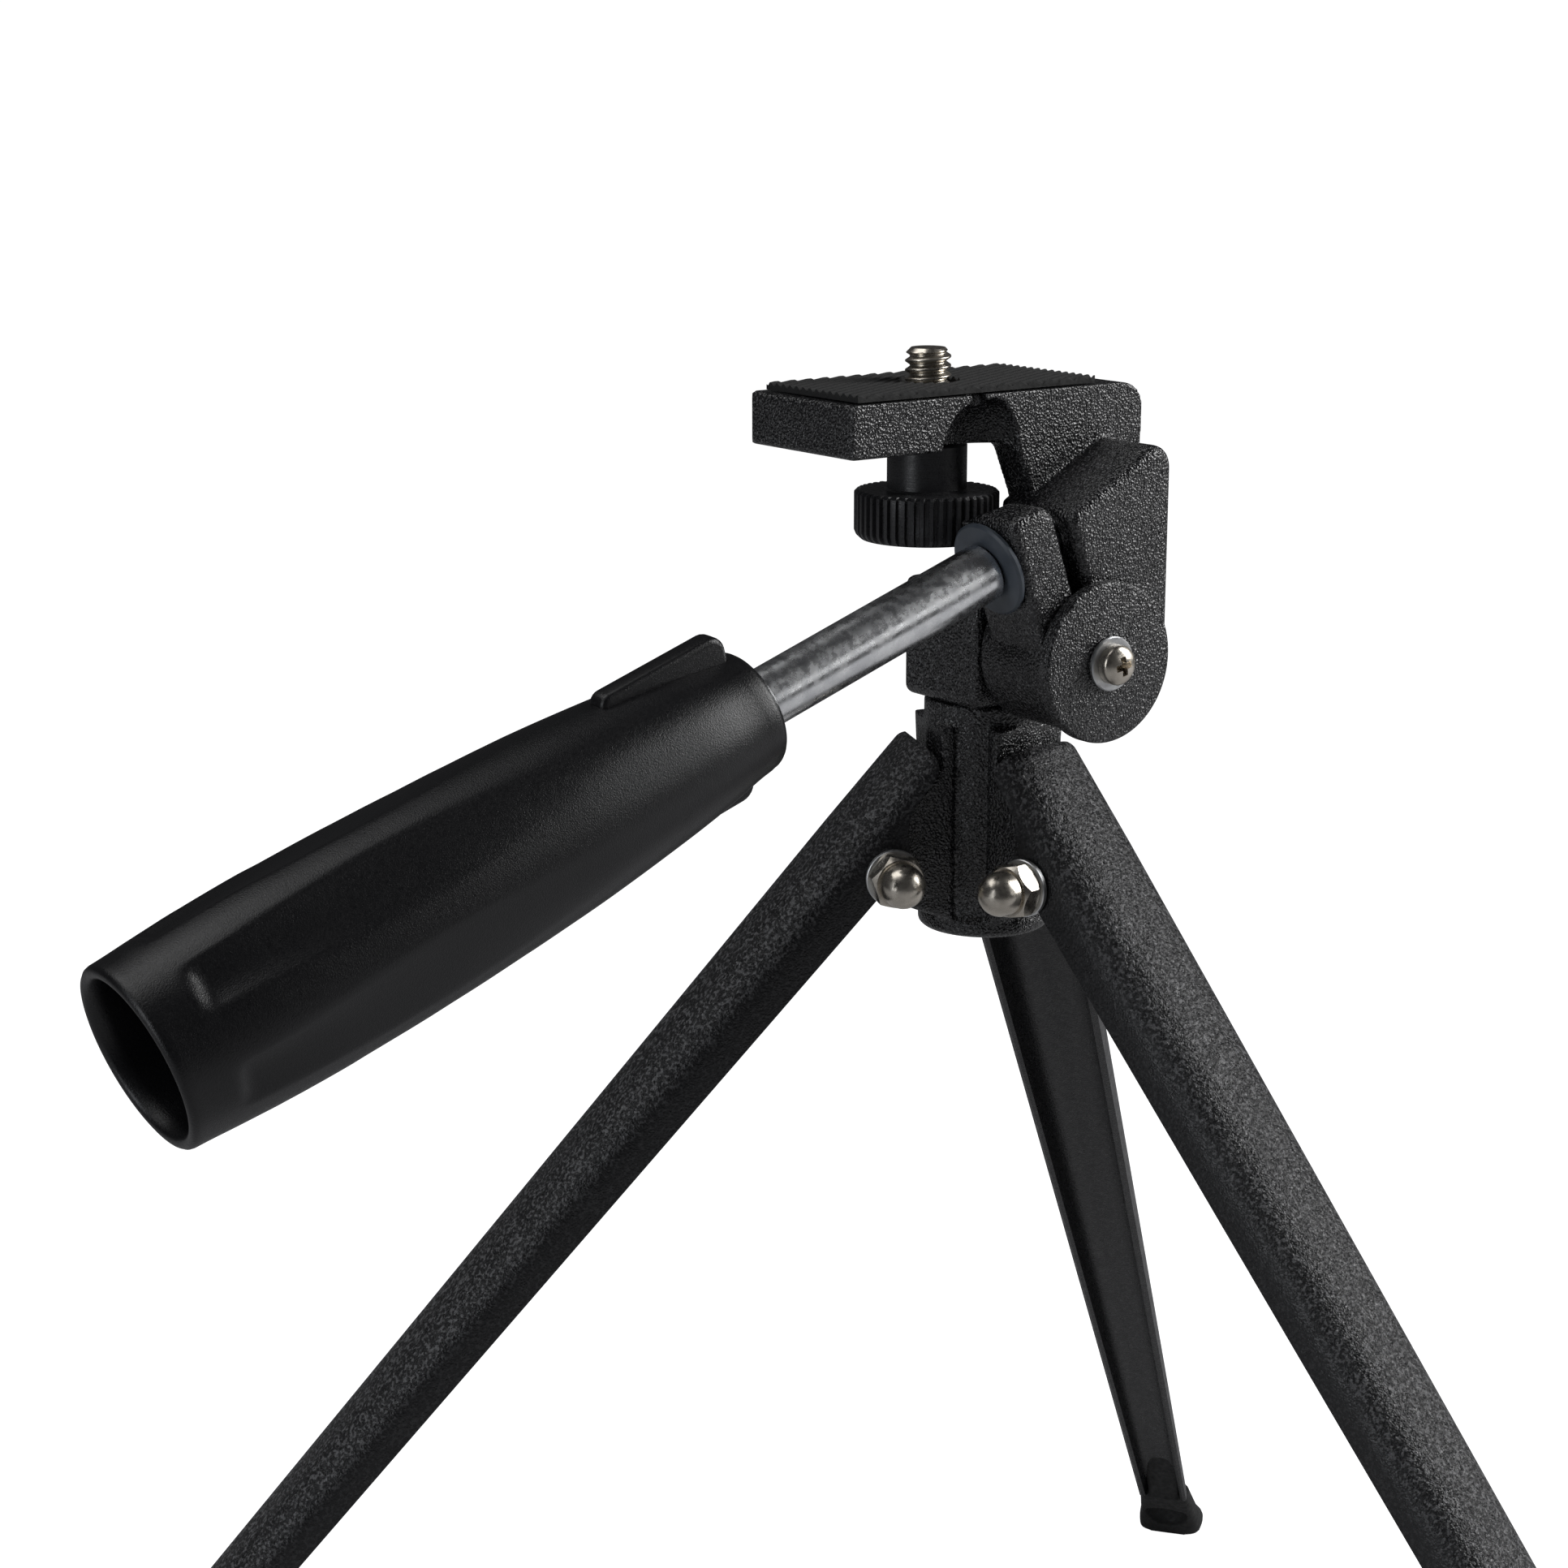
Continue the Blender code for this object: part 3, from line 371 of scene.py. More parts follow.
def wrinkle_coat():
    """Coarse black powder coat, whose small glossy wrinkles sparkle; light grey specks in its colour are
    painted glints.
    """
    made = Shader("wrinkle_coat", (0.016, 0.016, 0.017), 0.3)
    worn = made.edges(0.53, 0.62)
    tone = made.mix(made.noise(6 * MM, 4.0), (0.004, 0.004, 0.005), (0.009, 0.009, 0.010))
    # Light grey specks painted into the colour stand in for the coat's sparkle: painted glints.
    painted_glints = made.spread(made.noise(0.34 * MM, 1.0), 0.54, 0.68, 0.0, 1.0)
    made.colour(made.mix(worn, made.mix(painted_glints, tone, (0.13, 0.13, 0.134)), (0.06, 0.06, 0.061)))
    made.roughness(made.spread(made.noise(0.5 * MM, 3.0), 0.3, 0.7, 0.12, 0.30))
    made.set("Specular IOR Level", 0.75)
    broad = made.bump(made.noise(0.6 * MM, 3.0, 0.6), 0.12 * MM, 0.8)
    return made.normal(made.bump(made.cells(0.32 * MM), 0.16 * MM, 1.0, broad))


def leg_coat():
    """Powder coat that lies in leathery wrinkles on the rounded back and flatter on the flanges, with light
    grey specks in its colour, denser on the back, that are painted glints.
    """
    made = Shader("leg_coat", (0.012, 0.012, 0.013), 0.4)
    parts = made.add("ShaderNodeSeparateXYZ")
    made.link(made.place.outputs["Normal"], parts.inputs["Vector"])
    back = made.spread(parts.outputs["Y"], 0.15, 0.6, 0.0, 1.0)
    tone = made.mix(made.noise(9 * MM, 4.0), (0.006, 0.006, 0.007), (0.012, 0.012, 0.013))
    # Light grey specks painted into the colour, mostly on the rounded back, are painted glints.
    painted_glints = made.spread(made.noise(0.50 * MM, 2.0, 0.5), 0.50, 0.62, 0.0, 1.0)
    painted_glints = made.math("MULTIPLY", painted_glints, made.spread(back, 0.0, 1.0, 0.16, 1.0))
    made.colour(made.mix(painted_glints, tone, (0.15, 0.15, 0.155)))
    made.roughness(made.spread(made.noise(1.2 * MM, 3.0), 0.3, 0.7, 0.24, 0.40))
    leather = made.noise(0.75 * MM, 3.0, 0.55, distortion=1.2)
    broad = made.bump(leather, 0.34 * MM, made.spread(back, 0.0, 1.0, 0.05, 1.0))
    fine = made.cells(0.26 * MM)
    return made.normal(made.bump(fine, 0.12 * MM, made.spread(back, 0.0, 1.0, 0.55, 1.0), broad))


def grip_plastic():
    """Satin moulded plastic with a spark-eroded grain."""
    made = Shader("grip_plastic", (0.005, 0.005, 0.006), 0.33)
    made.colour(made.mix(made.noise(14 * MM, 3.0), (0.004, 0.004, 0.005), (0.007, 0.007, 0.008)))
    made.roughness(made.spread(made.noise(0.35 * MM, 3.0), 0.3, 0.7, 0.27, 0.38))
    wave = made.bump(made.noise(3 * MM, 2.0), 0.05 * MM, 0.25)
    return made.normal(made.bump(made.noise(0.19 * MM, 2.0, 0.6), 0.05 * MM, 0.9, wave))


def knob_plastic():
    """Harder black plastic with fine rings left by turning."""
    made = Shader("knob_plastic", (0.028, 0.028, 0.030), 0.3)
    made.colour(made.mix(made.noise(4 * MM, 3.0), (0.022, 0.022, 0.024), (0.036, 0.036, 0.038)))
    made.roughness(made.spread(made.noise(0.6 * MM, 3.0), 0.3, 0.7, 0.24, 0.42))
    rings = made.noise(0.22 * MM, 1.0, stretch=(0.02, 0.02, 1.0))
    lathe = made.bump(rings, 0.03 * MM, 0.6)
    return made.normal(made.bump(made.noise(0.2 * MM, 2.0), 0.02 * MM, 0.5, lathe))


def rubber():
    made = Shader("rubber", (0.014, 0.014, 0.014), 0.72)
    dust = made.spread(made.noise(2.5 * MM, 5.0, 0.65), 0.55, 0.75, 0.0, 0.55)
    made.colour(made.mix(dust, (0.012, 0.012, 0.012), (0.028, 0.028, 0.027)))
    made.roughness(made.spread(made.noise(0.9 * MM, 3.0), 0.3, 0.7, 0.55, 0.85))
    return made.normal(made.bump(made.noise(0.2 * MM, 3.0), 0.04 * MM, 0.7))


def plated(name, dark, bright, low, high, grain, depth, stretch=None):
    """Plated metal, with faint stains, a changing polish and fine marks."""
    made = Shader(name, bright, low, 1.0)
    made.colour(made.mix(made.spread(made.noise(3 * MM, 4.0), 0.35, 0.65, 0.0, 1.0), dark, bright))
    made.roughness(made.spread(made.noise(1.1 * MM, 4.0), 0.3, 0.7, low, high))
    return made.normal(made.bump(made.noise(grain, 3.0, 0.6, stretch), depth, 0.8))


def nylon():
    made = Shader("nylon", (0.09, 0.11, 0.14), 0.3)
    made.colour(made.mix(made.noise(2 * MM, 3.0), (0.07, 0.085, 0.11), (0.15, 0.175, 0.21)))
    made.roughness(made.spread(made.noise(1 * MM, 3.0), 0.3, 0.7, 0.28, 0.5))
    made.set("Transmission Weight", 0.35)
    return made.normal(made.bump(made.noise(0.5 * MM, 2.0), 0.02 * MM, 0.5))


COAT = wrinkle_coat()
LEG_COAT = leg_coat()
GRIP = grip_plastic()
KNOB = knob_plastic()
RUBBER = rubber()
NICKEL = plated("nickel", (0.50, 0.46, 0.40), (0.72, 0.67, 0.59), 0.2, 0.36, 0.4 * MM, 0.004 * MM)
CHROME = plated(
    "chrome", (0.68, 0.69, 0.71), (0.88, 0.89, 0.90), 0.20, 0.34, 0.22 * MM, 0.006 * MM, (1, 1, 0.35)
)
ZINC = plated("zinc", (0.56, 0.57, 0.58), (0.80, 0.81, 0.81), 0.3, 0.45, 0.3 * MM, 0.005 * MM)
SPRING = plated("spring_steel", (0.3, 0.3, 0.3), (0.5, 0.5, 0.49), 0.25, 0.4, 0.3 * MM, 0.005 * MM)
NYLON = nylon()

# ---------------------------------------------------------------- legs and feet

LEG_TOP = -16.8 * MM
LEG_END = 256.0 * MM
LEG_WALL = 1.2 * MM
LEG_HALF = (8.7 * MM, 5.0 * MM)
LEG_BACK = (8.6 * MM, 6.2 * MM)
LEG_TIP = (-0.5 * MM, 2.0 * MM)
SECTION_POWER = 0.62
EAR_RADIUS = 3.9 * MM


def taper(distance, ends):
    share = min(max(distance / LEG_END, 0.0), 1.0)
    return ends[0] + (ends[1] - ends[0]) * share


def between(points, value):
    """The height of a broken line at a value."""
    for (x0, y0), (x1, y1) in zip(points, points[1:]):
        if value <= x1:
            share = max(value - x0, 0.0) / (x1 - x0)
            return y0 + (y1 - y0) * share
    return points[-1][1]


RELIEF = [
    (LEG_TOP, 6.7 * MM), (-16.4 * MM, 5.6 * MM), (-15.6 * MM, 4.7 * MM), (-14.0 * MM, 4.25 * MM),
    (-9.4 * MM, 4.0 * MM), (-7.6 * MM, 3.5 * MM), (-6.0 * MM, 2.4 * MM), (-4.8 * MM, 1.1 * MM),
    (-EAR_RADIUS, 0.0),
]


def flange_tip(distance):
    """How far out the flange's free edge lies: relief, then the ear round the bolt, then straight."""
    straight = taper(distance, LEG_TIP)
    if distance <= -EAR_RADIUS:
        return between(RELIEF, distance)
    if distance < EAR_RADIUS:
        ear = -math.sqrt(EAR_RADIUS**2 - distance**2)
        return ear if distance < 0 else min(ear, straight)
    return straight


def half_section(distance, inset, count):
    """Points round the leg's outline from one flange edge to the other, as (out, across)."""
    half = taper(distance, LEG_HALF) - inset
    root = taper(distance, LEG_TIP)
    end_round = 1.4 * MM
    overrun = max(LEG_TOP + end_round - distance, 0.0)
    back = taper(distance, LEG_BACK) - inset - overrun**2 / (2.2 * end_round)
    depth = back - root
    tip = flange_tip(distance)
    reach = max((tip - root) / depth, 0.0)
    start = math.asin(min(reach, 0.98) ** (1 / SECTION_POWER)) if reach > 0 else 0.0
    points = []
    for i in range(count + 1):
        angle = start + (math.pi - 2 * start) * i / count
        across = half * math.copysign(abs(math.cos(angle)) ** SECTION_POWER, math.cos(angle))
        out = root + depth * max(math.sin(angle), 0.0) ** SECTION_POWER
        points.append((out, across))
    points[0] = (tip, points[0][1])
    points[-1] = (tip, points[-1][1])
    return points


def leg_ring(distance, count=30):
    """The sheet's closed outline at a distance down the leg, with rounded free edges."""
    outer = half_section(distance, 0.0, count)
    inner = half_section(distance, LEG_WALL, count)
    lip = 0.3 * MM
    first = ((outer[0][0] - lip), (outer[0][1] + inner[0][1]) / 2)
    last = ((outer[-1][0] - lip), (outer[-1][1] + inner[-1][1]) / 2)
    ring = [*outer, last, *inner[::-1], first]
    return [(distance, out, across) for out, across in ring]


def leg_stations():
    upper = [LEG_TOP + i * 0.35 * MM for i in range(37)]
    ear = [-EAR_RADIUS * math.cos(math.pi * i / 24) for i in range(25)]
    upper = [s for s in upper if s < -EAR_RADIUS - 0.1 * MM]
    lower = [6 * MM + (LEG_END - 6 * MM) * i / 24 for i in range(25)]
    return [*upper, *ear, *lower]


def build_leg(side):
    leg = loft(f"leg_{side}_channel", [leg_ring(s) for s in leg_stations()], leg_matrix(side))
    finished(leg, f"leg_{side}_swing", LEG_COAT, "black_leg_coat", f"leg_{side}")


HINGE_RADIUS = 16.0 * MM
HINGE_HEIGHT = TOP - 67.6 * MM


def ground_point(radial, height, across):
    """A point given by its distance from the pan axis and its height, in a leg's frame."""
    run = radial - HINGE_RADIUS
    drop = HINGE_HEIGHT - height
    along = run * math.sin(LEG_SPREAD) + drop * math.cos(LEG_SPREAD)
    out = run * math.cos(LEG_SPREAD) - drop * math.sin(LEG_SPREAD)
    return (along, out, across)


def oval(count, power):
    """A rounded rectangle of half-size 1, as (x, y) points."""
    points = []
    for i in range(count):
        angle = math.tau * i / count
        x = math.copysign(abs(math.cos(angle)) ** power, math.cos(angle))
        y = math.copysign(abs(math.sin(angle)) ** power, math.sin(angle))
        points.append((x, y))
    return points


def sole(height, inner, outer, half_width, power=0.6):
    middle, reach = (inner + outer) / 2, (outer - inner) / 2
    return [
        ground_point(middle + reach * y, height, half_width * x) for x, y in oval(48, power)
    ]


def shoe_collar(distance, swell):
    """The shoe's mouth, square to the leg."""
    half = LEG_HALF[1] + swell
    low, high = LEG_TIP[1] - swell, LEG_BACK[1] + swell
    middle, reach = (low + high) / 2, (high - low) / 2
    return [(distance, middle + reach * y, half * x) for x, y in oval(48, 0.62)]


def shoe_tongue(distance, recess):
    """The part of the shoe that lies in the leg, set back from the flanges' free edges."""
    half = taper(distance, LEG_HALF) - LEG_WALL - 0.4 * MM
    low = taper(distance, LEG_TIP) + recess
    high = max(taper(distance, LEG_BACK) - LEG_WALL - 0.4 * MM, low + 0.6 * MM)
    middle, reach = (low + high) / 2, (high - low) / 2
    return [(distance, middle + reach * y, half * x) for x, y in oval(48, 0.62)]


def settled(obj):
    """Turns a mesh into world axes, so that its box is no wider than it is."""
    obj.data.transform(obj.matrix_world)
    obj.matrix_world = Matrix.Identity(4)
    return obj


def build_foot(side):
    """A moulded shoe that closes the leg's end and flares to a level sole, scooped inside."""
    matrix = leg_matrix(side)
    sections = [
        shoe_tongue(LEG_END - 15 * MM, 3.4 * MM),
        shoe_tongue(LEG_END - 6 * MM, 2.2 * MM),
        shoe_tongue(LEG_END + 0.1 * MM, 0.2 * MM),
        shoe_collar(LEG_END + 0.2 * MM, 0.15 * MM),
        shoe_collar(LEG_END + 2.2 * MM, 0.3 * MM),
        sole(6.2 * MM, 191.4 * MM, 199.4 * MM, 5.9 * MM),
        sole(3.4 * MM, 193.3 * MM, 203.4 * MM, 6.5 * MM),
        sole(1.6 * MM, 194.2 * MM, 205.4 * MM, 6.7 * MM),
        sole(0.0, 194.6 * MM, 205.7 * MM, 6.6 * MM),
    ]
    foot = loft(f"foot_{side}_shoe", sections, matrix)
    scoop = (3.6 * MM, 3.4 * MM, 4.7 * MM)
    centre = ground_point(191.9 * MM, 5.0 * MM, 0.0)
    combine(foot, [ellipsoid(f"foot_{side}_hollow", centre, scoop, matrix)], "DIFFERENCE")
    settled(cast(foot, 0.28 * MM, 2))
    finished(foot, f"leg_{side}_swing", RUBBER, "rubber", f"foot_{side}")


# ---------------------------------------------------------------- hinge fasteners

FLANGE_FACE = 8.7 * MM
WASHER_GAP = 0.2 * MM
WASHER_THICKNESS = 0.8 * MM
WASHER_BORE = 2.1 * MM
WASHER_RADIUS = 4.05 * MM
WASHER_EDGE = 0.12 * MM
BOLT_RADIUS = 1.95 * MM
BOLT_HEAD_RADIUS = 3.6 * MM


def ring_profile(inner, outer, low, high, edge):
    """A washer's section with softened edges, as a closed loop."""
    return [
        (inner, low + edge), (inner, high - edge), (inner + edge, high), (outer - edge, high),
        (outer, high - edge), (outer, low + edge), (outer - edge, low), (inner + edge, low),
    ]


def dome_nut(name, base, matrix):
    """A hexagon with turned chamfers, a neck and a polished dome."""
    across_flats, height = 7.0 * MM, 3.0 * MM
    corner = across_flats / math.sqrt(3)
    hexagon = arc((0.0, 0.0), corner, 0, 300, 5)
    nut = plate(name, hexagon, base, base + height, matrix)
    chamfer = 0.75 * MM
    inner = across_flats / 2 - 0.1 * MM
    limits = [
        (0.0, base), (inner, base), (corner, base + chamfer), (corner, base + height - chamfer),
        (inner, base + height), (0.0, base + height),
    ]
    combine(nut, [turned(name + "_limits", limits, matrix)], "INTERSECT", 25.0)
    radius, neck = 3.1 * MM, 1.3 * MM
    cap = arc((0.0, base + height + neck), radius, 88, 0, 18)
    foot_of_neck = base + height - 0.3 * MM
    profile = [
        (0.0, base + height + neck + radius), *cap, (radius, base + height + 0.25 * MM),
        (radius - 0.2 * MM, base + height), (radius - 0.2 * MM, foot_of_neck), (0.0, foot_of_neck),
    ]
    return combine(nut, [turned(name + "_dome", profile, matrix)], "UNION", 25.0)


def cross_recess(name, depth_at, reach, width, top, matrix):
    """The two crossed, tapering slots of a screw head."""
    cutters = []
    for index, turn in enumerate((0.0, math.pi / 2)):
        outline = [(-reach, top), (reach, top), (reach * 0.35, depth_at), (-reach * 0.35, depth_at)]
        turned_matrix = matrix @ Matrix.Rotation(turn, 4, "Z")
        slot = facing_side(f"{name}_{index}", outline, -width, width, turned_matrix)
        cutters.append(slot)
    return cutters


def build_hinge(side):
    """Bolt, two washers and a dome nut. The nut lies towards local +Z on the right leg only."""
    body = "hub"
    sign = 1 if side == "right" else -1
    matrix = leg_matrix(side)
    if sign < 0:
        matrix = matrix @ Matrix.Rotation(math.pi, 4, "X")
    near = FLANGE_FACE + WASHER_GAP
    far = near + WASHER_THICKNESS
    profile = ring_profile(WASHER_BORE, WASHER_RADIUS, near, far, WASHER_EDGE)
    washer = turned(f"nut_washer_{side}_ring", profile, matrix, loop=True)
    finished(washer, body, ZINC, "zinc", f"nut_washer_{side}")
    profile = ring_profile(WASHER_BORE, WASHER_RADIUS, -far, -near, WASHER_EDGE)
    washer = turned(f"bolt_washer_{side}_ring", profile, matrix, loop=True)
    finished(washer, body, ZINC, "zinc", f"bolt_washer_{side}")
    nut = dome_nut(f"dome_nut_{side}_cap", far + 0.05 * MM, matrix)
    finished(nut, body, NICKEL, "nickel", f"dome_nut_{side}")
    head = -far - 0.05 * MM
    crown = arc((0.0, head - 0.4 * MM), 2.0 * MM, -90, -8, 10)
    crown = [(x * 1.8, z) for x, z in crown]
    end = far + 3.4 * MM
    profile = [
        (0.0, crown[0][1]), *crown[1:], (BOLT_HEAD_RADIUS, head), (BOLT_RADIUS, head),
        (BOLT_RADIUS, end), (0.0, end),
    ]
    bolt = turned(f"hinge_bolt_{side}_screw", profile, matrix)
    flipped = matrix @ Matrix.Rotation(math.pi, 4, "X")
    slots = cross_recess("recess", -head + 0.7 * MM, 1.9 * MM, 0.42 * MM, -head + 4 * MM, flipped)
    combine(bolt, slots, "DIFFERENCE")
    finished(bolt, body, NICKEL, "nickel", f"hinge_bolt_{side}")


# ---------------------------------------------------------------- hub and pan block

NECK_TOP = -44.2 * MM
HUB_BOTTOM = -77.6 * MM


def beside_leg(along, out):
    radial = HINGE_RADIUS + along * math.sin(LEG_SPREAD) + out * math.cos(LEG_SPREAD)
    height = HINGE_HEIGHT - TOP - along * math.cos(LEG_SPREAD) + out * math.sin(LEG_SPREAD)
    return (radial, height)


def build_hub():
    """The casting: neck, three tongues, base, and the well that the pan bolt sits in."""
    well = 5.6 * MM
    ceiling = NECK_TOP - 8.0 * MM
    profile = [
        (0.0, NECK_TOP), (8.8 * MM, NECK_TOP), (8.8 * MM, HUB_BOTTOM + 2.8 * MM),
        (9.4 * MM, HUB_BOTTOM + 2.4 * MM), (9.4 * MM, HUB_BOTTOM + 0.6 * MM),
        (8.7 * MM, HUB_BOTTOM), (well, HUB_BOTTOM), (well, ceiling), (0.0, ceiling),
    ]
    hub = turned("hub_casting_body", profile, HUB)
    outline = [
        (6.5 * MM, NECK_TOP - 3.0 * MM), (8.7 * MM, NECK_TOP - 3.0 * MM),
        beside_leg(-16.0 * MM, 4.0 * MM), beside_leg(-3.0 * MM, 4.0 * MM),
        *arc((HINGE_RADIUS, HINGE_HEIGHT - TOP), 4.2 * MM, 30, -90, 12),
        (6.5 * MM, HUB_BOTTOM + 2.2 * MM),
    ]
    for side in SIDES:
        matrix = HUB @ Matrix.Rotation(leg_azimuth(side), 4, "Z")
        lug = facing_side(f"lug_{side}", outline, -6.8 * MM, 6.8 * MM, matrix, 0.4 * MM, 2)
        combine(hub, [lug], "UNION")
    cast(hub, 0.32 * MM, 5)
    finished(hub, "hub", COAT, "black_wrinkle_coat", "hub_casting")


TILT_X = TILT_AT.x - PAN_AT.x
TILT_Z = TILT_AT.z - TOP


def build_pan_block():
    low, high = (-9.3 * MM, -8.6 * MM, NECK_TOP + 0.2 * MM), (9.2 * MM, 7.6 * MM, -27.0 * MM)
    block = box("pan_block_body", low, high, HUB, 1.3 * MM, 3)
    barrel = rod_between(
        "barrel", 6.9 * MM, (TILT_X, -4 * MM, TILT_Z), (TILT_X, -22.3 * MM, TILT_Z), HUB
    )
    combine(block, [barrel], "UNION")
    cast(block, 0.32 * MM, 4)
    finished(block, "pan_base", COAT, "black_wrinkle_coat", "pan_block")


# ---------------------------------------------------------------- tilting casting

PLATFORM_LEFT = -33.0 * MM
PLATFORM_RIGHT = 18.1 * MM
PLATFORM_HALF = 11.2 * MM
PLATFORM_BOTTOM = -7.2 * MM
RING_RADIUS = 10.2 * MM
RING_NEAR = -22.3 * MM
RING_FAR = -9.4 * MM
EAR_FACE = -8.6 * MM
EAR_TOP = 24.2 * MM
ROD_UP = 17.2 * MM
ROD_Y = -16.0 * MM
SCREW_X = SCREW_AT.x - PAN_AT.x


def clamp_point(along, up):
    """A point of the clamp's own tilted axes, as X and Z of the head."""
    x = TILT_X + along * math.cos(DIP) - up * math.sin(DIP)
    z = TILT_Z + along * math.sin(DIP) + up * math.cos(DIP)
    return (x, z)


def rounded_corner(before, corner, after, radius, count=6):
    """Points of a round corner between two straight edges."""
    corner = Vector(corner)
    arm_in = (Vector(before) - corner).normalized()
    arm_out = (Vector(after) - corner).normalized()
    half = arm_in.angle(arm_out) / 2
    centre = corner + (arm_in + arm_out).normalized() * radius / math.sin(half)
    start = corner + arm_in * radius / math.tan(half) - centre
    end = corner + arm_out * radius / math.tan(half) - centre
    spokes = [start.normalized().slerp(end.normalized(), i / count) for i in range(count + 1)]
    return [tuple(centre + spoke * radius) for spoke in spokes]


def smooth_outline(corners):
    """An outline from (point, radius) corners."""
    points = []
    for i, (corner, radius) in enumerate(corners):
        before = corners[i - 1][0]
        after = corners[(i + 1) % len(corners)][0]
        if radius:
            points += rounded_corner(before, corner, after, radius)
        else:
            points.append(corner)
    return points


def clamp_ring():
    axis_near, axis_far = (TILT_X, RING_NEAR, TILT_Z), (TILT_X, RING_FAR, TILT_Z)
    return rod_between("clamp_ring", RING_RADIUS, axis_near, axis_far, HUB, 96)


def clamp_ear():
    outline = smooth_outline([
        (clamp_point(EAR_FACE, 2.0 * MM), 0.0),
        (clamp_point(-1.1 * MM, 2.0 * MM), 0.0),
        (clamp_point(-1.1 * MM, EAR_TOP), 2.6 * MM),
        (clamp_point(EAR_FACE, EAR_TOP), 1.6 * MM),
    ])
    return facing_side("clamp_ear", outline, RING_NEAR + 0.05 * MM, -10.8 * MM, HUB, 1.2 * MM, 4)


def clamp_block():
    right = TILT_X + 12.9 * MM
    top_right = (right, -5.2 * MM)
    outline = smooth_outline([
        (clamp_point(1.1 * MM, 2.0 * MM), 0.0),
        ((TILT_X + 9.8 * MM, TILT_Z - 2.0 * MM), 0.0),
        ((right, TILT_Z + 1.4 * MM), 2.0 * MM),
        (top_right, 3.0 * MM),
        (clamp_point(1.1 * MM, 20.8 * MM), 2.0 * MM),
    ])
    near, far = RING_NEAR + 0.09 * MM, RING_FAR + 3.0 * MM
    return facing_side("clamp_block", outline, near, far, HUB, 1.4 * MM, 4)


def arm():
    """The web from the platform down to the clamp."""
    outline = smooth_outline([
        ((-8.0 * MM, -4.0 * MM), 0.0),
        ((-4.4 * MM, -8.0 * MM), 1.5 * MM),
        ((-1.7 * MM, -14.6 * MM), 1.5 * MM),
        ((-1.2 * MM, -20.0 * MM), 0.8 * MM),
        ((14.0 * MM, -20.0 * MM), 0.8 * MM),
        ((PLATFORM_RIGHT - 0.05 * MM, -9.0 * MM), 2.0 * MM),
        ((PLATFORM_RIGHT - 0.05 * MM, -4.0 * MM), 0.0),
    ])
    return facing_side("arm_web", outline, -PLATFORM_HALF + 0.04 * MM, -5.8 * MM, HUB)


def platform():
    outline = smooth_outline([
        ((PLATFORM_LEFT, PLATFORM_BOTTOM), 0.5 * MM),
        ((PLATFORM_RIGHT, PLATFORM_BOTTOM), 0.3 * MM),
        ((PLATFORM_RIGHT, 0.0), 3.6 * MM),
        ((PLATFORM_LEFT, 0.0), 0.7 * MM),
    ])
    return facing_side("tilt_casting_body", outline, -PLATFORM_HALF, PLATFORM_HALF, HUB)


def build_tilt_casting():
    casting = platform()
    slot = [
        clamp_point(-1.1 * MM, 3.0 * MM), clamp_point(1.1 * MM, 3.0 * MM),
        clamp_point(1.1 * MM, 40 * MM), clamp_point(-1.1 * MM, 40 * MM),
    ]
    start, deep = clamp_point(-30 * MM, ROD_UP), clamp_point(10.5 * MM, ROD_UP)
    combine(casting, [arm(), clamp_ring(), clamp_ear(), clamp_block()], "UNION")
    scoop_radii = (6.7 * MM, 5.5 * MM, 8.4 * MM)
    shoulder_radii = (4.6 * MM, 4.6 * MM, 7.9 * MM)
    cutters = [
        ellipsoid("scoop", (-11.2 * MM, -11.3 * MM, -9.2 * MM), scoop_radii, HUB),
        ellipsoid("scoop_shoulder", (-8.9 * MM, -11.4 * MM, -8.6 * MM), shoulder_radii, HUB),
        rod_between("barrel_bore", 7.15 * MM, (TILT_X, 0, TILT_Z), (TILT_X, -30 * MM, TILT_Z), HUB),
        facing_side("slot", slot, -30 * MM, RING_FAR + 0.4 * MM, HUB),
        rod_between("rod_hole", 3.3 * MM, (start[0], ROD_Y, start[1]), (deep[0], ROD_Y, deep[1]), HUB),
        rod_between("screw_hole", 3.6 * MM, (SCREW_X, 0, -12 * MM), (SCREW_X, 0, 4 * MM), HUB),
        rod_between("clip_well", 5.2 * MM, (SCREW_X, 0, -1.2 * MM), (SCREW_X, 0, 4 * MM), HUB),
        rod_between("wheel_room", 10.5 * MM, (SCREW_X, 0, -21.7 * MM), (SCREW_X, 0, -13.1 * MM), HUB),
    ]
    combine(casting, cutters, "DIFFERENCE")
    cast(casting, 0.28 * MM, 4)
    finished(casting, "tilt_head", COAT, "black_wrinkle_coat", "tilt_casting")


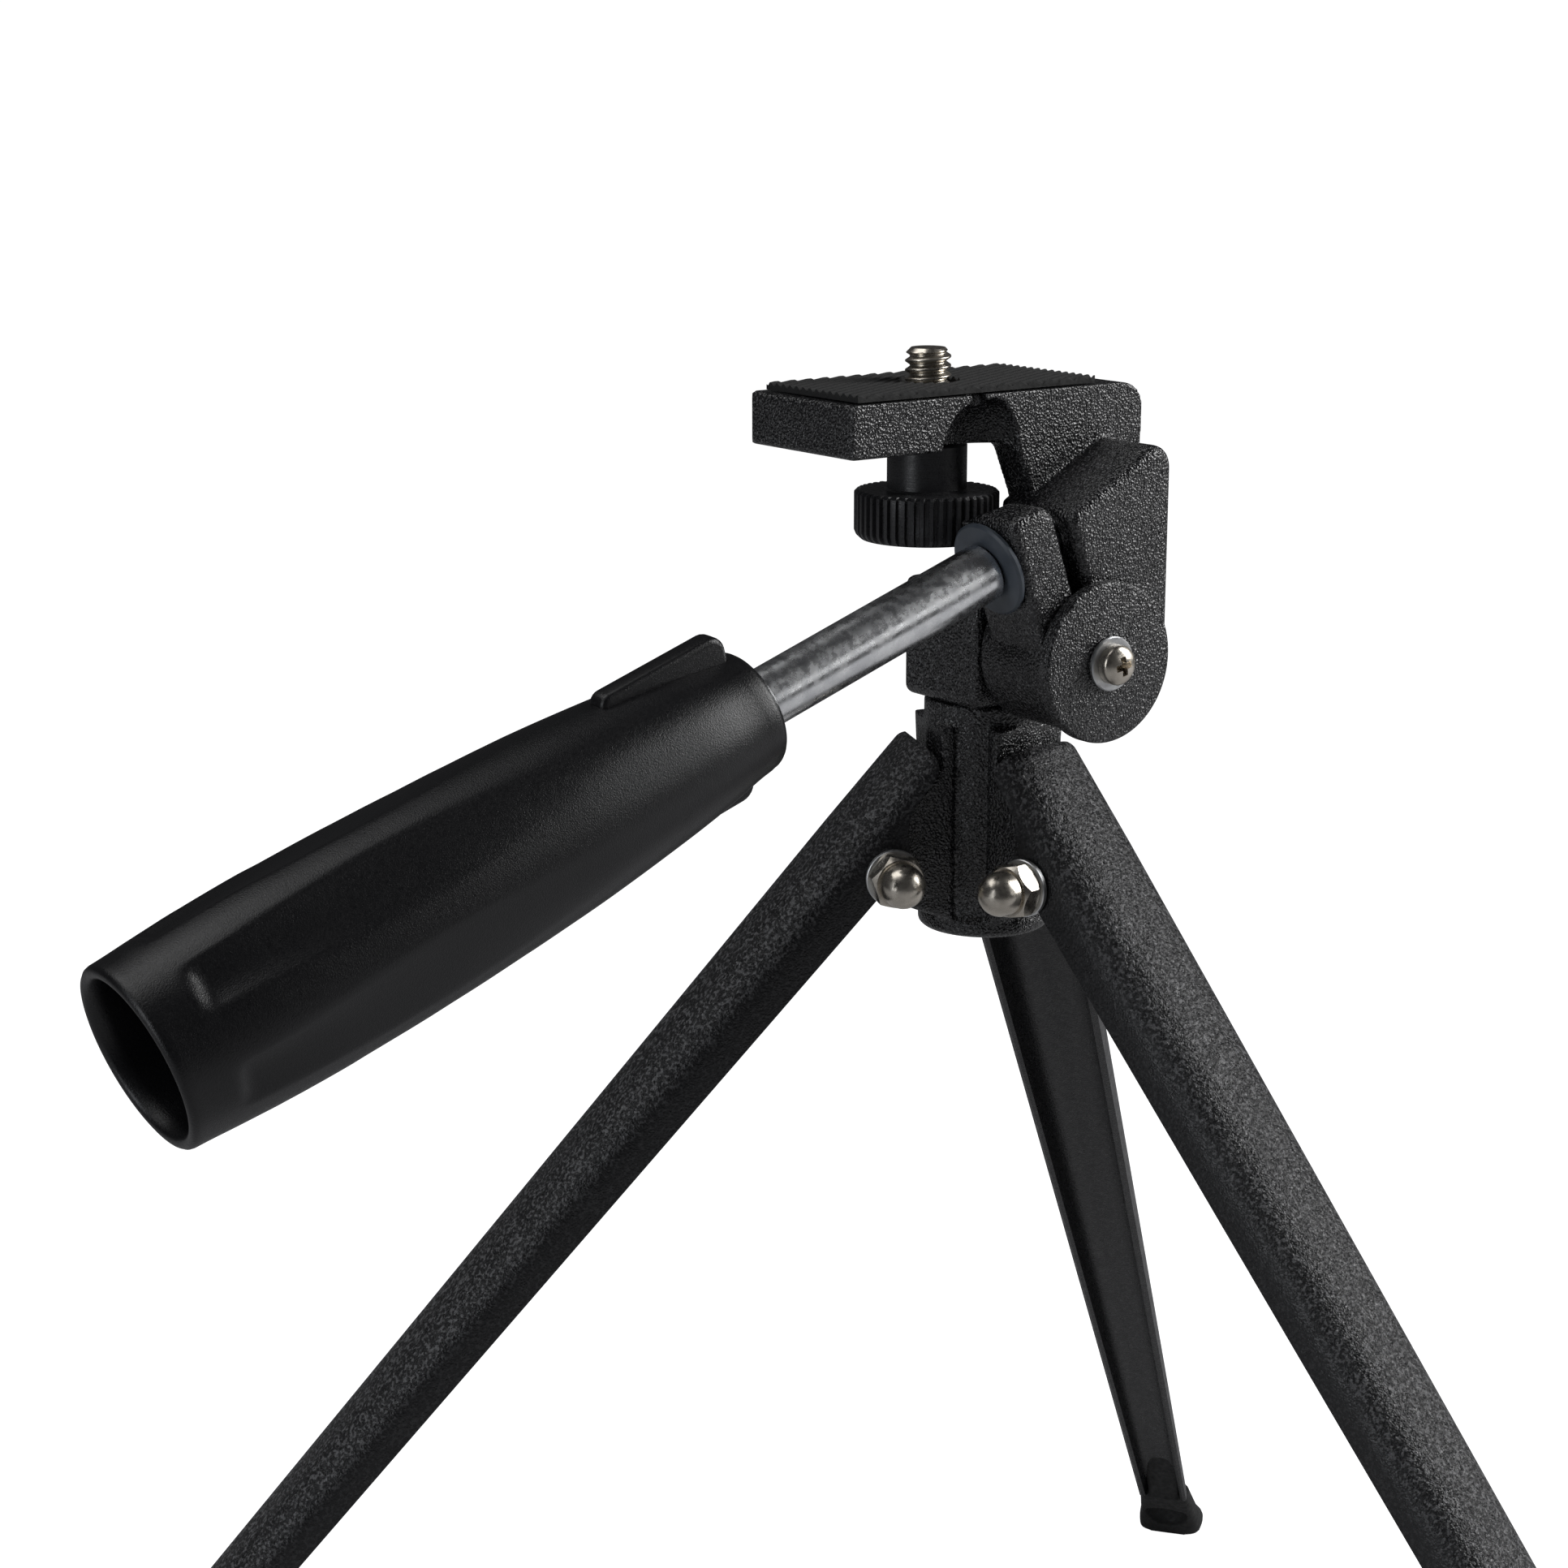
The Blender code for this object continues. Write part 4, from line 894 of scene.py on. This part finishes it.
def build_end_cap():
    """Cap, washer and cross-recess screw on the barrel's end. Heights run towards the viewer."""
    start = 22.5 * MM
    end = start + 1.9 * MM
    radius, edge = 11.1 * MM, 0.5 * MM
    rim = [(radius - edge + x, end - edge + z) for x, z in arc((0.0, 0.0), edge, 90, 0, 5)]
    profile = [(0.0, end), *rim, (radius, start + 0.2 * MM), (radius - 0.2 * MM, start), (0.0, start)]
    cap = turned("tilt_end_cap_disc", profile, BARREL, 128)
    finished(cap, "pan_base", COAT, "black_wrinkle_coat", "tilt_end_cap")
    low, high = end + 0.08 * MM, end + 0.75 * MM
    washer = turned(
        "tilt_screw_washer_ring", ring_profile(1.6 * MM, 3.75 * MM, low, high, 0.15 * MM), BARREL, loop=True
    )
    finished(washer, "pan_base", ZINC, "zinc", "tilt_screw_washer")
    head, side = 2.75 * MM, 1.1 * MM
    crown = arc((0.0, high + side), 1.25 * MM, 90, 8, 10)
    crown = [(x * head / (1.25 * MM), z) for x, z in crown]
    profile = [(0.0, crown[0][1]), *crown[1:], (head, high + side), (head, high + 0.1 * MM),
               (head - 0.1 * MM, high + 0.02 * MM), (1.4 * MM, high + 0.02 * MM),
               (1.4 * MM, start - 4 * MM), (0.0, start - 4 * MM)]
    screw = turned("tilt_screw_head", profile, BARREL)
    slots = cross_recess(
        "tilt_recess", high + 0.4 * MM, 2.0 * MM, 0.45 * MM, high + 4 * MM,
        BARREL @ Matrix.Rotation(math.radians(12), 4, "Z"),
    )
    combine(screw, slots, "DIFFERENCE", 25.0)
    finished(screw, "pan_base", NICKEL, "nickel", "tilt_screw")


# ---------------------------------------------------------------- handle

GRIP_FRONT = 51.0 * MM
GRIP_REAR = 142.6 * MM
GRIP_CAVITY = 42.0 * MM
GRIP_BORE = 4.15 * MM
CREST = [
    (52.8, 8.35), (55.0, 8.6), (61.0, 9.7), (66.0, 10.35), (73.5, 11.1), (78.0, 11.5), (83.0, 11.9),
    (92.5, 12.4), (102.0, 12.8), (111.0, 13.0), (122.0, 13.0), (129.0, 12.8), (137.0, 12.3), (141.2, 11.95),
]
FLUTES = 6
FLUTE_TURN = 48.0
FLUTE_REAR = 136.0 * MM
FLUTE_FRONT = 78.0 * MM
FLUTE_DEPTH = 0.95 * MM


def eased(share):
    share = min(max(share, 0.0), 1.0)
    return share * share * (3 - 2 * share)


def crest_radius(distance):
    """A smooth curve through the crest's radii, at a distance along the rod."""
    points = [(s * MM, r * MM) for s, r in CREST]
    steps = (-2.0, -1.0, 0.0, 1.0, 2.0)
    return sum(between(points, distance + k * 1.2 * MM) for k in steps) / len(steps)


def flute_cut(distance, turn):
    """How deep the nearest flute is at a place on the grip."""
    length = FLUTE_REAR - FLUTE_FRONT
    share = (FLUTE_REAR - distance) / length
    if not 0.0 < share < 1.0:
        return 0.0
    spacing = math.tau / FLUTES
    offset = (turn - math.radians(FLUTE_TURN) + spacing / 2) % spacing - spacing / 2
    width = math.radians(15 + 8 * eased(share * 1.6)) * (1 - 0.55 * share**3)
    across = 1 - (offset / width) ** 2
    start = eased((FLUTE_REAR - distance) / (1.8 * MM))
    fade = 1 - eased((share - 0.35) / 0.65)
    return FLUTE_DEPTH * max(across, 0.0) * start * (0.25 + 0.75 * fade) * (1 - share**4)


def grip_rows():
    """(distance, radius, fluted) from the front of the bore, over the outside, into the hollow."""
    front_round = [(GRIP_FRONT + 1.8 * MM - x, 6.55 * MM + y)
                   for x, y in arc((0.0, 0.0), 1.8 * MM, 0, 90, 7)]
    rows = [(GRIP_FRONT + 0.3 * MM, GRIP_BORE, False), (GRIP_FRONT, GRIP_BORE + 0.3 * MM, False)]
    rows += [(s, r, False) for s, r in front_round]
    first, last, count = 53.4 * MM, 141.4 * MM, 110
    rows += [(first + (last - first) * i / count, None, True) for i in range(count + 1)]
    rim = crest_radius(last)
    rows += [(last + 0.9 * MM * math.sin(a), rim - 0.9 * MM * (1 - math.cos(a)), False)
             for a in (0.5, 1.0, 1.5, 2.1, 2.7)]
    mouth = rim - 1.9 * MM
    floor = GRIP_REAR - GRIP_CAVITY
    rows += [(last - 1.6 * MM, mouth, False), (floor + 12 * MM, 10.5 * MM, False),
             (floor + 2 * MM, 9.8 * MM, False), (floor + 0.4 * MM, 9.2 * MM, False),
             (floor, 8.4 * MM, False), (floor, GRIP_BORE + 0.3 * MM, False),
             (floor - 0.3 * MM, GRIP_BORE, False)]
    return rows


def build_grip():
    columns = 144
    sections = []
    for distance, radius, fluted in grip_rows():
        ring = []
        for i in range(columns):
            turn = math.tau * i / columns
            reach = radius
            if fluted:
                reach = crest_radius(distance) - flute_cut(distance, turn)
            ring.append((-distance, -reach * math.sin(turn), reach * math.cos(turn)))
        sections.append(ring)
    grip = loft("handle_grip_moulding", sections, HANDLE, looped=True, angle=50.0)
    for name, turn, crest in (("top", 4.0, 12.2 * MM), ("bottom", 192.0, 11.9 * MM)):
        combine(grip, [grip_rib(f"rib_{name}", turn, crest)], "UNION", 40.0)
    finished(grip, "handle", GRIP, "grip_plastic", "handle_grip")


def grip_rib(name, turn, crest):
    """A finger rib with a level top, which stands taller as the grip narrows."""
    rear, front, root, half = -72.6 * MM, -53.2 * MM, 7.0 * MM, 1.65 * MM
    outline = smooth_outline([
        ((rear, root), 0.0), ((front, root), 0.0), ((front, crest), 2.2 * MM), ((rear, crest), 1.6 * MM),
    ])
    matrix = HANDLE @ Matrix.Rotation(math.radians(turn), 4, "X")
    return facing_side(name, outline, -half, half, matrix, 0.75 * MM, 4)


def build_rod():
    radius, stud, chamfer = 4.0 * MM, 2.9 * MM, 0.5 * MM
    shoulder, end = 9.9 * MM, 98.0 * MM
    profile = [
        (0.0, end), (radius - chamfer, end), (radius, end - chamfer), (radius, shoulder + chamfer),
        (radius - chamfer, shoulder), (stud, shoulder), (stud, -9.0 * MM), (stud - chamfer, -9.5 * MM),
        (0.0, -9.5 * MM),
    ]
    rod = turned("handle_rod_bar", profile, ROD)
    finished(rod, "handle", CHROME, "chrome", "handle_rod")
    profile = ring_profile(3.2 * MM, 6.6 * MM, 8.75 * MM, 9.75 * MM, 0.3 * MM)
    washer = turned("handle_washer_ring", profile, ROD, loop=True)
    for vertex in washer.data.vertices:
        lift = math.sin(2.0 * math.atan2(vertex.co.y, vertex.co.x) + 0.6)
        vertex.co.z += 0.12 * MM * lift * max(vertex.co.xy.length / (6.6 * MM) - 0.55, 0.0)
    finished(washer, "handle", NYLON, "nylon", "handle_washer")


# ---------------------------------------------------------------- platform fittings


def build_pad():
    """The rubber pad: saw-tooth ribs that run across it at an angle."""
    low, base, top = 0.2 * MM, 0.65 * MM, 1.2 * MM
    pitch, reach, run = 1.3 * MM, 30 * MM, 40 * MM
    outline = [(-reach, low - 1 * MM)]
    for i in range(int(2 * reach / pitch)):
        x = -reach + i * pitch
        outline += [(x, base), (x + 0.25 * pitch, top), (x + 0.5 * pitch, top), (x + 0.98 * pitch, base)]
    outline.append((outline[-1][0], low - 1 * MM))
    centre = ((-31.3 + 9.9) / 2 * MM, (-10.3 + 9.9) / 2 * MM)
    middle = Matrix.Translation((centre[0], centre[1], 0.0))
    skew = HUB @ middle @ Matrix.Rotation(math.radians(-62), 4, "Z")
    ribs = facing_side("platform_pad_ribs", outline[::-1], -run, run, skew)
    sheet = box("pad_sheet", (-31.3 * MM, -10.3 * MM, low), (9.9 * MM, 9.9 * MM, 3 * MM), HUB)
    combine(ribs, [sheet], "INTERSECT")
    hole = rod_between("pad_hole", 4.4 * MM, (SCREW_X, 0, -2 * MM), (SCREW_X, 0, 4 * MM), HUB)
    combine(ribs, [hole], "DIFFERENCE")
    finished(ribs, "tilt_head", RUBBER, "rubber", "platform_pad")


def build_camera_screw():
    """A quarter inch stud with 20 threads to the inch, threaded above the wheel."""
    outer, root, pitch = 3.15 * MM, 2.5 * MM, 1.27 * MM
    top, low, head_low = 5.5 * MM, -9.0 * MM, -21.4 * MM
    columns, rows = 64, 190
    sections = []
    for i in range(rows + 1):
        height = low + (top - low) * i / rows
        limit = 2.35 * MM + (top - height)
        ring = []
        for k in range(columns):
            turn = math.tau * k / columns
            phase = (height / pitch - k / columns) % 1.0
            ridge = min(max(1.25 - 2.9 * abs(phase - 0.5), 0.0), 1.0)
            radius = min(root + (outer - root) * ridge, limit)
            ring.append((radius * math.cos(turn), radius * math.sin(turn), height))
        sections.append(ring)
    for radius, height in ((2.6 * MM, head_low + 0.9 * MM), (2.6 * MM, head_low)):
        turns = [math.tau * k / columns for k in range(columns)]
        sections.insert(0, [(radius * math.cos(t), radius * math.sin(t), height) for t in turns])
    screw = loft("camera_screw_stud", sections, SCREW, angle=60.0)
    finished(screw, "screw_wheel", NICKEL, "nickel", "camera_screw")


def build_wheel():
    """The thumb wheel with its moulded teeth and turned boss, in one piece."""
    teeth, per_tooth = 48, 8
    columns = teeth * per_tooth
    rim, groove, boss, bore = 10.0 * MM, 0.55 * MM, 5.5 * MM, 3.2 * MM
    top, bottom = -13.9 * MM, -20.7 * MM
    rows = [
        (bore, PLATFORM_BOTTOM - 0.3 * MM, 0), (boss - 0.2 * MM, PLATFORM_BOTTOM - 0.3 * MM, 0),
        (boss, PLATFORM_BOTTOM - 0.5 * MM, 0), (boss, top + 0.3 * MM, 0), (boss + 0.3 * MM, top, 0),
        (rim - 1.2 * MM, top, 0), (rim - 0.35 * MM, top, 1), (rim, top - 0.35 * MM, 1),
        (rim, bottom + 1.3 * MM, 1), (rim - 0.25 * MM, bottom + 0.7 * MM, 1),
        (rim - 0.9 * MM, bottom + 0.1 * MM, 0), (rim - 1.6 * MM, bottom, 0),
        (bore + 4.6 * MM, bottom, 0), (bore + 4.4 * MM, bottom + 0.5 * MM, 0),
        (bore, bottom + 0.5 * MM, 0),
    ]
    sections = []
    for radius, height, toothed in rows:
        ring = []
        for k in range(columns):
            turn = math.tau * k / columns
            low = toothed and (k % per_tooth) in (5, 6, 7, 0)
            reach = radius - groove if low else radius
            ring.append((reach * math.cos(turn), reach * math.sin(turn), height))
        sections.append(ring)
    wheel = loft("thumb_wheel_knob", sections, SCREW, looped=True, angle=30.0)
    finished(wheel, "screw_wheel", KNOB, "knob_plastic", "thumb_wheel")


def dress_inner_nodes():
    """The CAD nodes that stay as they are get the finished materials."""
    finishes = {
        "pan_bolt": ZINC, "pan_washer": ZINC, "pan_spring_washer": SPRING, "screw_clip": SPRING,
    }
    for name, finish in finishes.items():
        node = frame["nodes"][name]
        node.data.materials.clear()
        node.data.materials.append(finish)


# ---------------------------------------------------------------- studio


def studio_floor():
    """A pale sheet under the object, which the camera sees as white as the backdrop."""
    floor = box("studio_floor", (-4.0, -4.0, -0.02), (4.0, 4.0, -0.0002), Matrix.Identity(4))
    paper = Shader("paper", (0.5, 0.5, 0.5), 0.9)
    paper.colour(paper.mix(paper.noise(0.3, 2.0), (0.48, 0.48, 0.49), (0.53, 0.53, 0.54)))
    path = paper.add("ShaderNodeLightPath")
    paper.set("Emission Color", (1.0, 1.0, 1.0, 1.0))
    paper.link(path.outputs["Is Camera Ray"], paper.surface.inputs["Emission Strength"])
    floor.data.materials.append(paper.material)


CAMERA_FROM_PAN = Vector((-278.5, -328.9, 47.5)) * MM
CAMERA_TURN = Euler((math.radians(76.31), 0.0, math.radians(-36.44)))


def camera():
    data = bpy.data.cameras.new("camera")
    data.lens = 71.19
    data.sensor_width = 36.0
    data.clip_start = 0.01
    view = bpy.data.objects.new("camera", data)
    view.location = Vector((PAN_AT.x, PAN_AT.y, TOP)) + CAMERA_FROM_PAN
    view.rotation_euler = CAMERA_TURN
    bpy.context.scene.collection.objects.link(view)
    bpy.context.scene.camera = view


def softbox(name, azimuth, elevation, distance, size, radiance, colour=(1.0, 1.0, 1.0)):
    """A soft area light that points at the head from a direction in degrees."""
    azimuth, elevation = math.radians(azimuth), math.radians(elevation)
    flat = distance * math.cos(elevation)
    offset = Vector((flat * math.cos(azimuth), flat * math.sin(azimuth), distance * math.sin(elevation)))
    data = bpy.data.lights.new(name, "AREA")
    data.shape = "RECTANGLE"
    data.size, data.size_y = size
    data.energy = radiance * math.pi * size[0] * size[1]
    data.color = colour
    light = bpy.data.objects.new(name, data)
    light.location = Vector((PAN_AT.x, PAN_AT.y, TOP - 0.06)) + offset
    light.rotation_euler = (-offset).to_track_quat("-Z", "Y").to_euler()
    light.visible_camera = False
    bpy.context.scene.collection.objects.link(light)


def lights():
    softbox("right_key", -31, 28, 1.2, (0.42, 0.95), 9.0)
    softbox("overhead", 140, 62, 1.3, (0.9, 0.9), 1.6)
    softbox("front_strip", -64, 14, 1.2, (0.07, 0.42), 2.4)
    softbox("left_fill", 184, 12, 1.2, (0.45, 0.8), 2.4, (0.93, 0.96, 1.0))


def world():
    """White where the camera sees it, and a dim room where the object reflects it."""
    studio = bpy.data.worlds.new("studio")
    studio.use_nodes = True
    tree = studio.node_tree
    background = tree.nodes["Background"]
    background.inputs["Color"].default_value = (0.95, 0.96, 1.0, 1.0)
    path = tree.nodes.new("ShaderNodeLightPath")
    spread = tree.nodes.new("ShaderNodeMapRange")
    spread.inputs["To Min"].default_value = 0.035
    spread.inputs["To Max"].default_value = 1.1
    tree.links.new(path.outputs["Is Camera Ray"], spread.inputs["Value"])
    tree.links.new(spread.outputs["Result"], background.inputs["Strength"])
    bpy.context.scene.world = studio
    bpy.context.scene.view_settings.view_transform = "Standard"


# ---------------------------------------------------------------- build

camera()
studio_floor()
lights()
world()
for leg_side in SIDES:
    build_leg(leg_side)
    build_foot(leg_side)
    build_hinge(leg_side)
build_hub()
build_pan_block()
build_tilt_casting()
build_end_cap()
build_rod()
build_grip()
build_pad()
build_camera_screw()
build_wheel()
dress_inner_nodes()
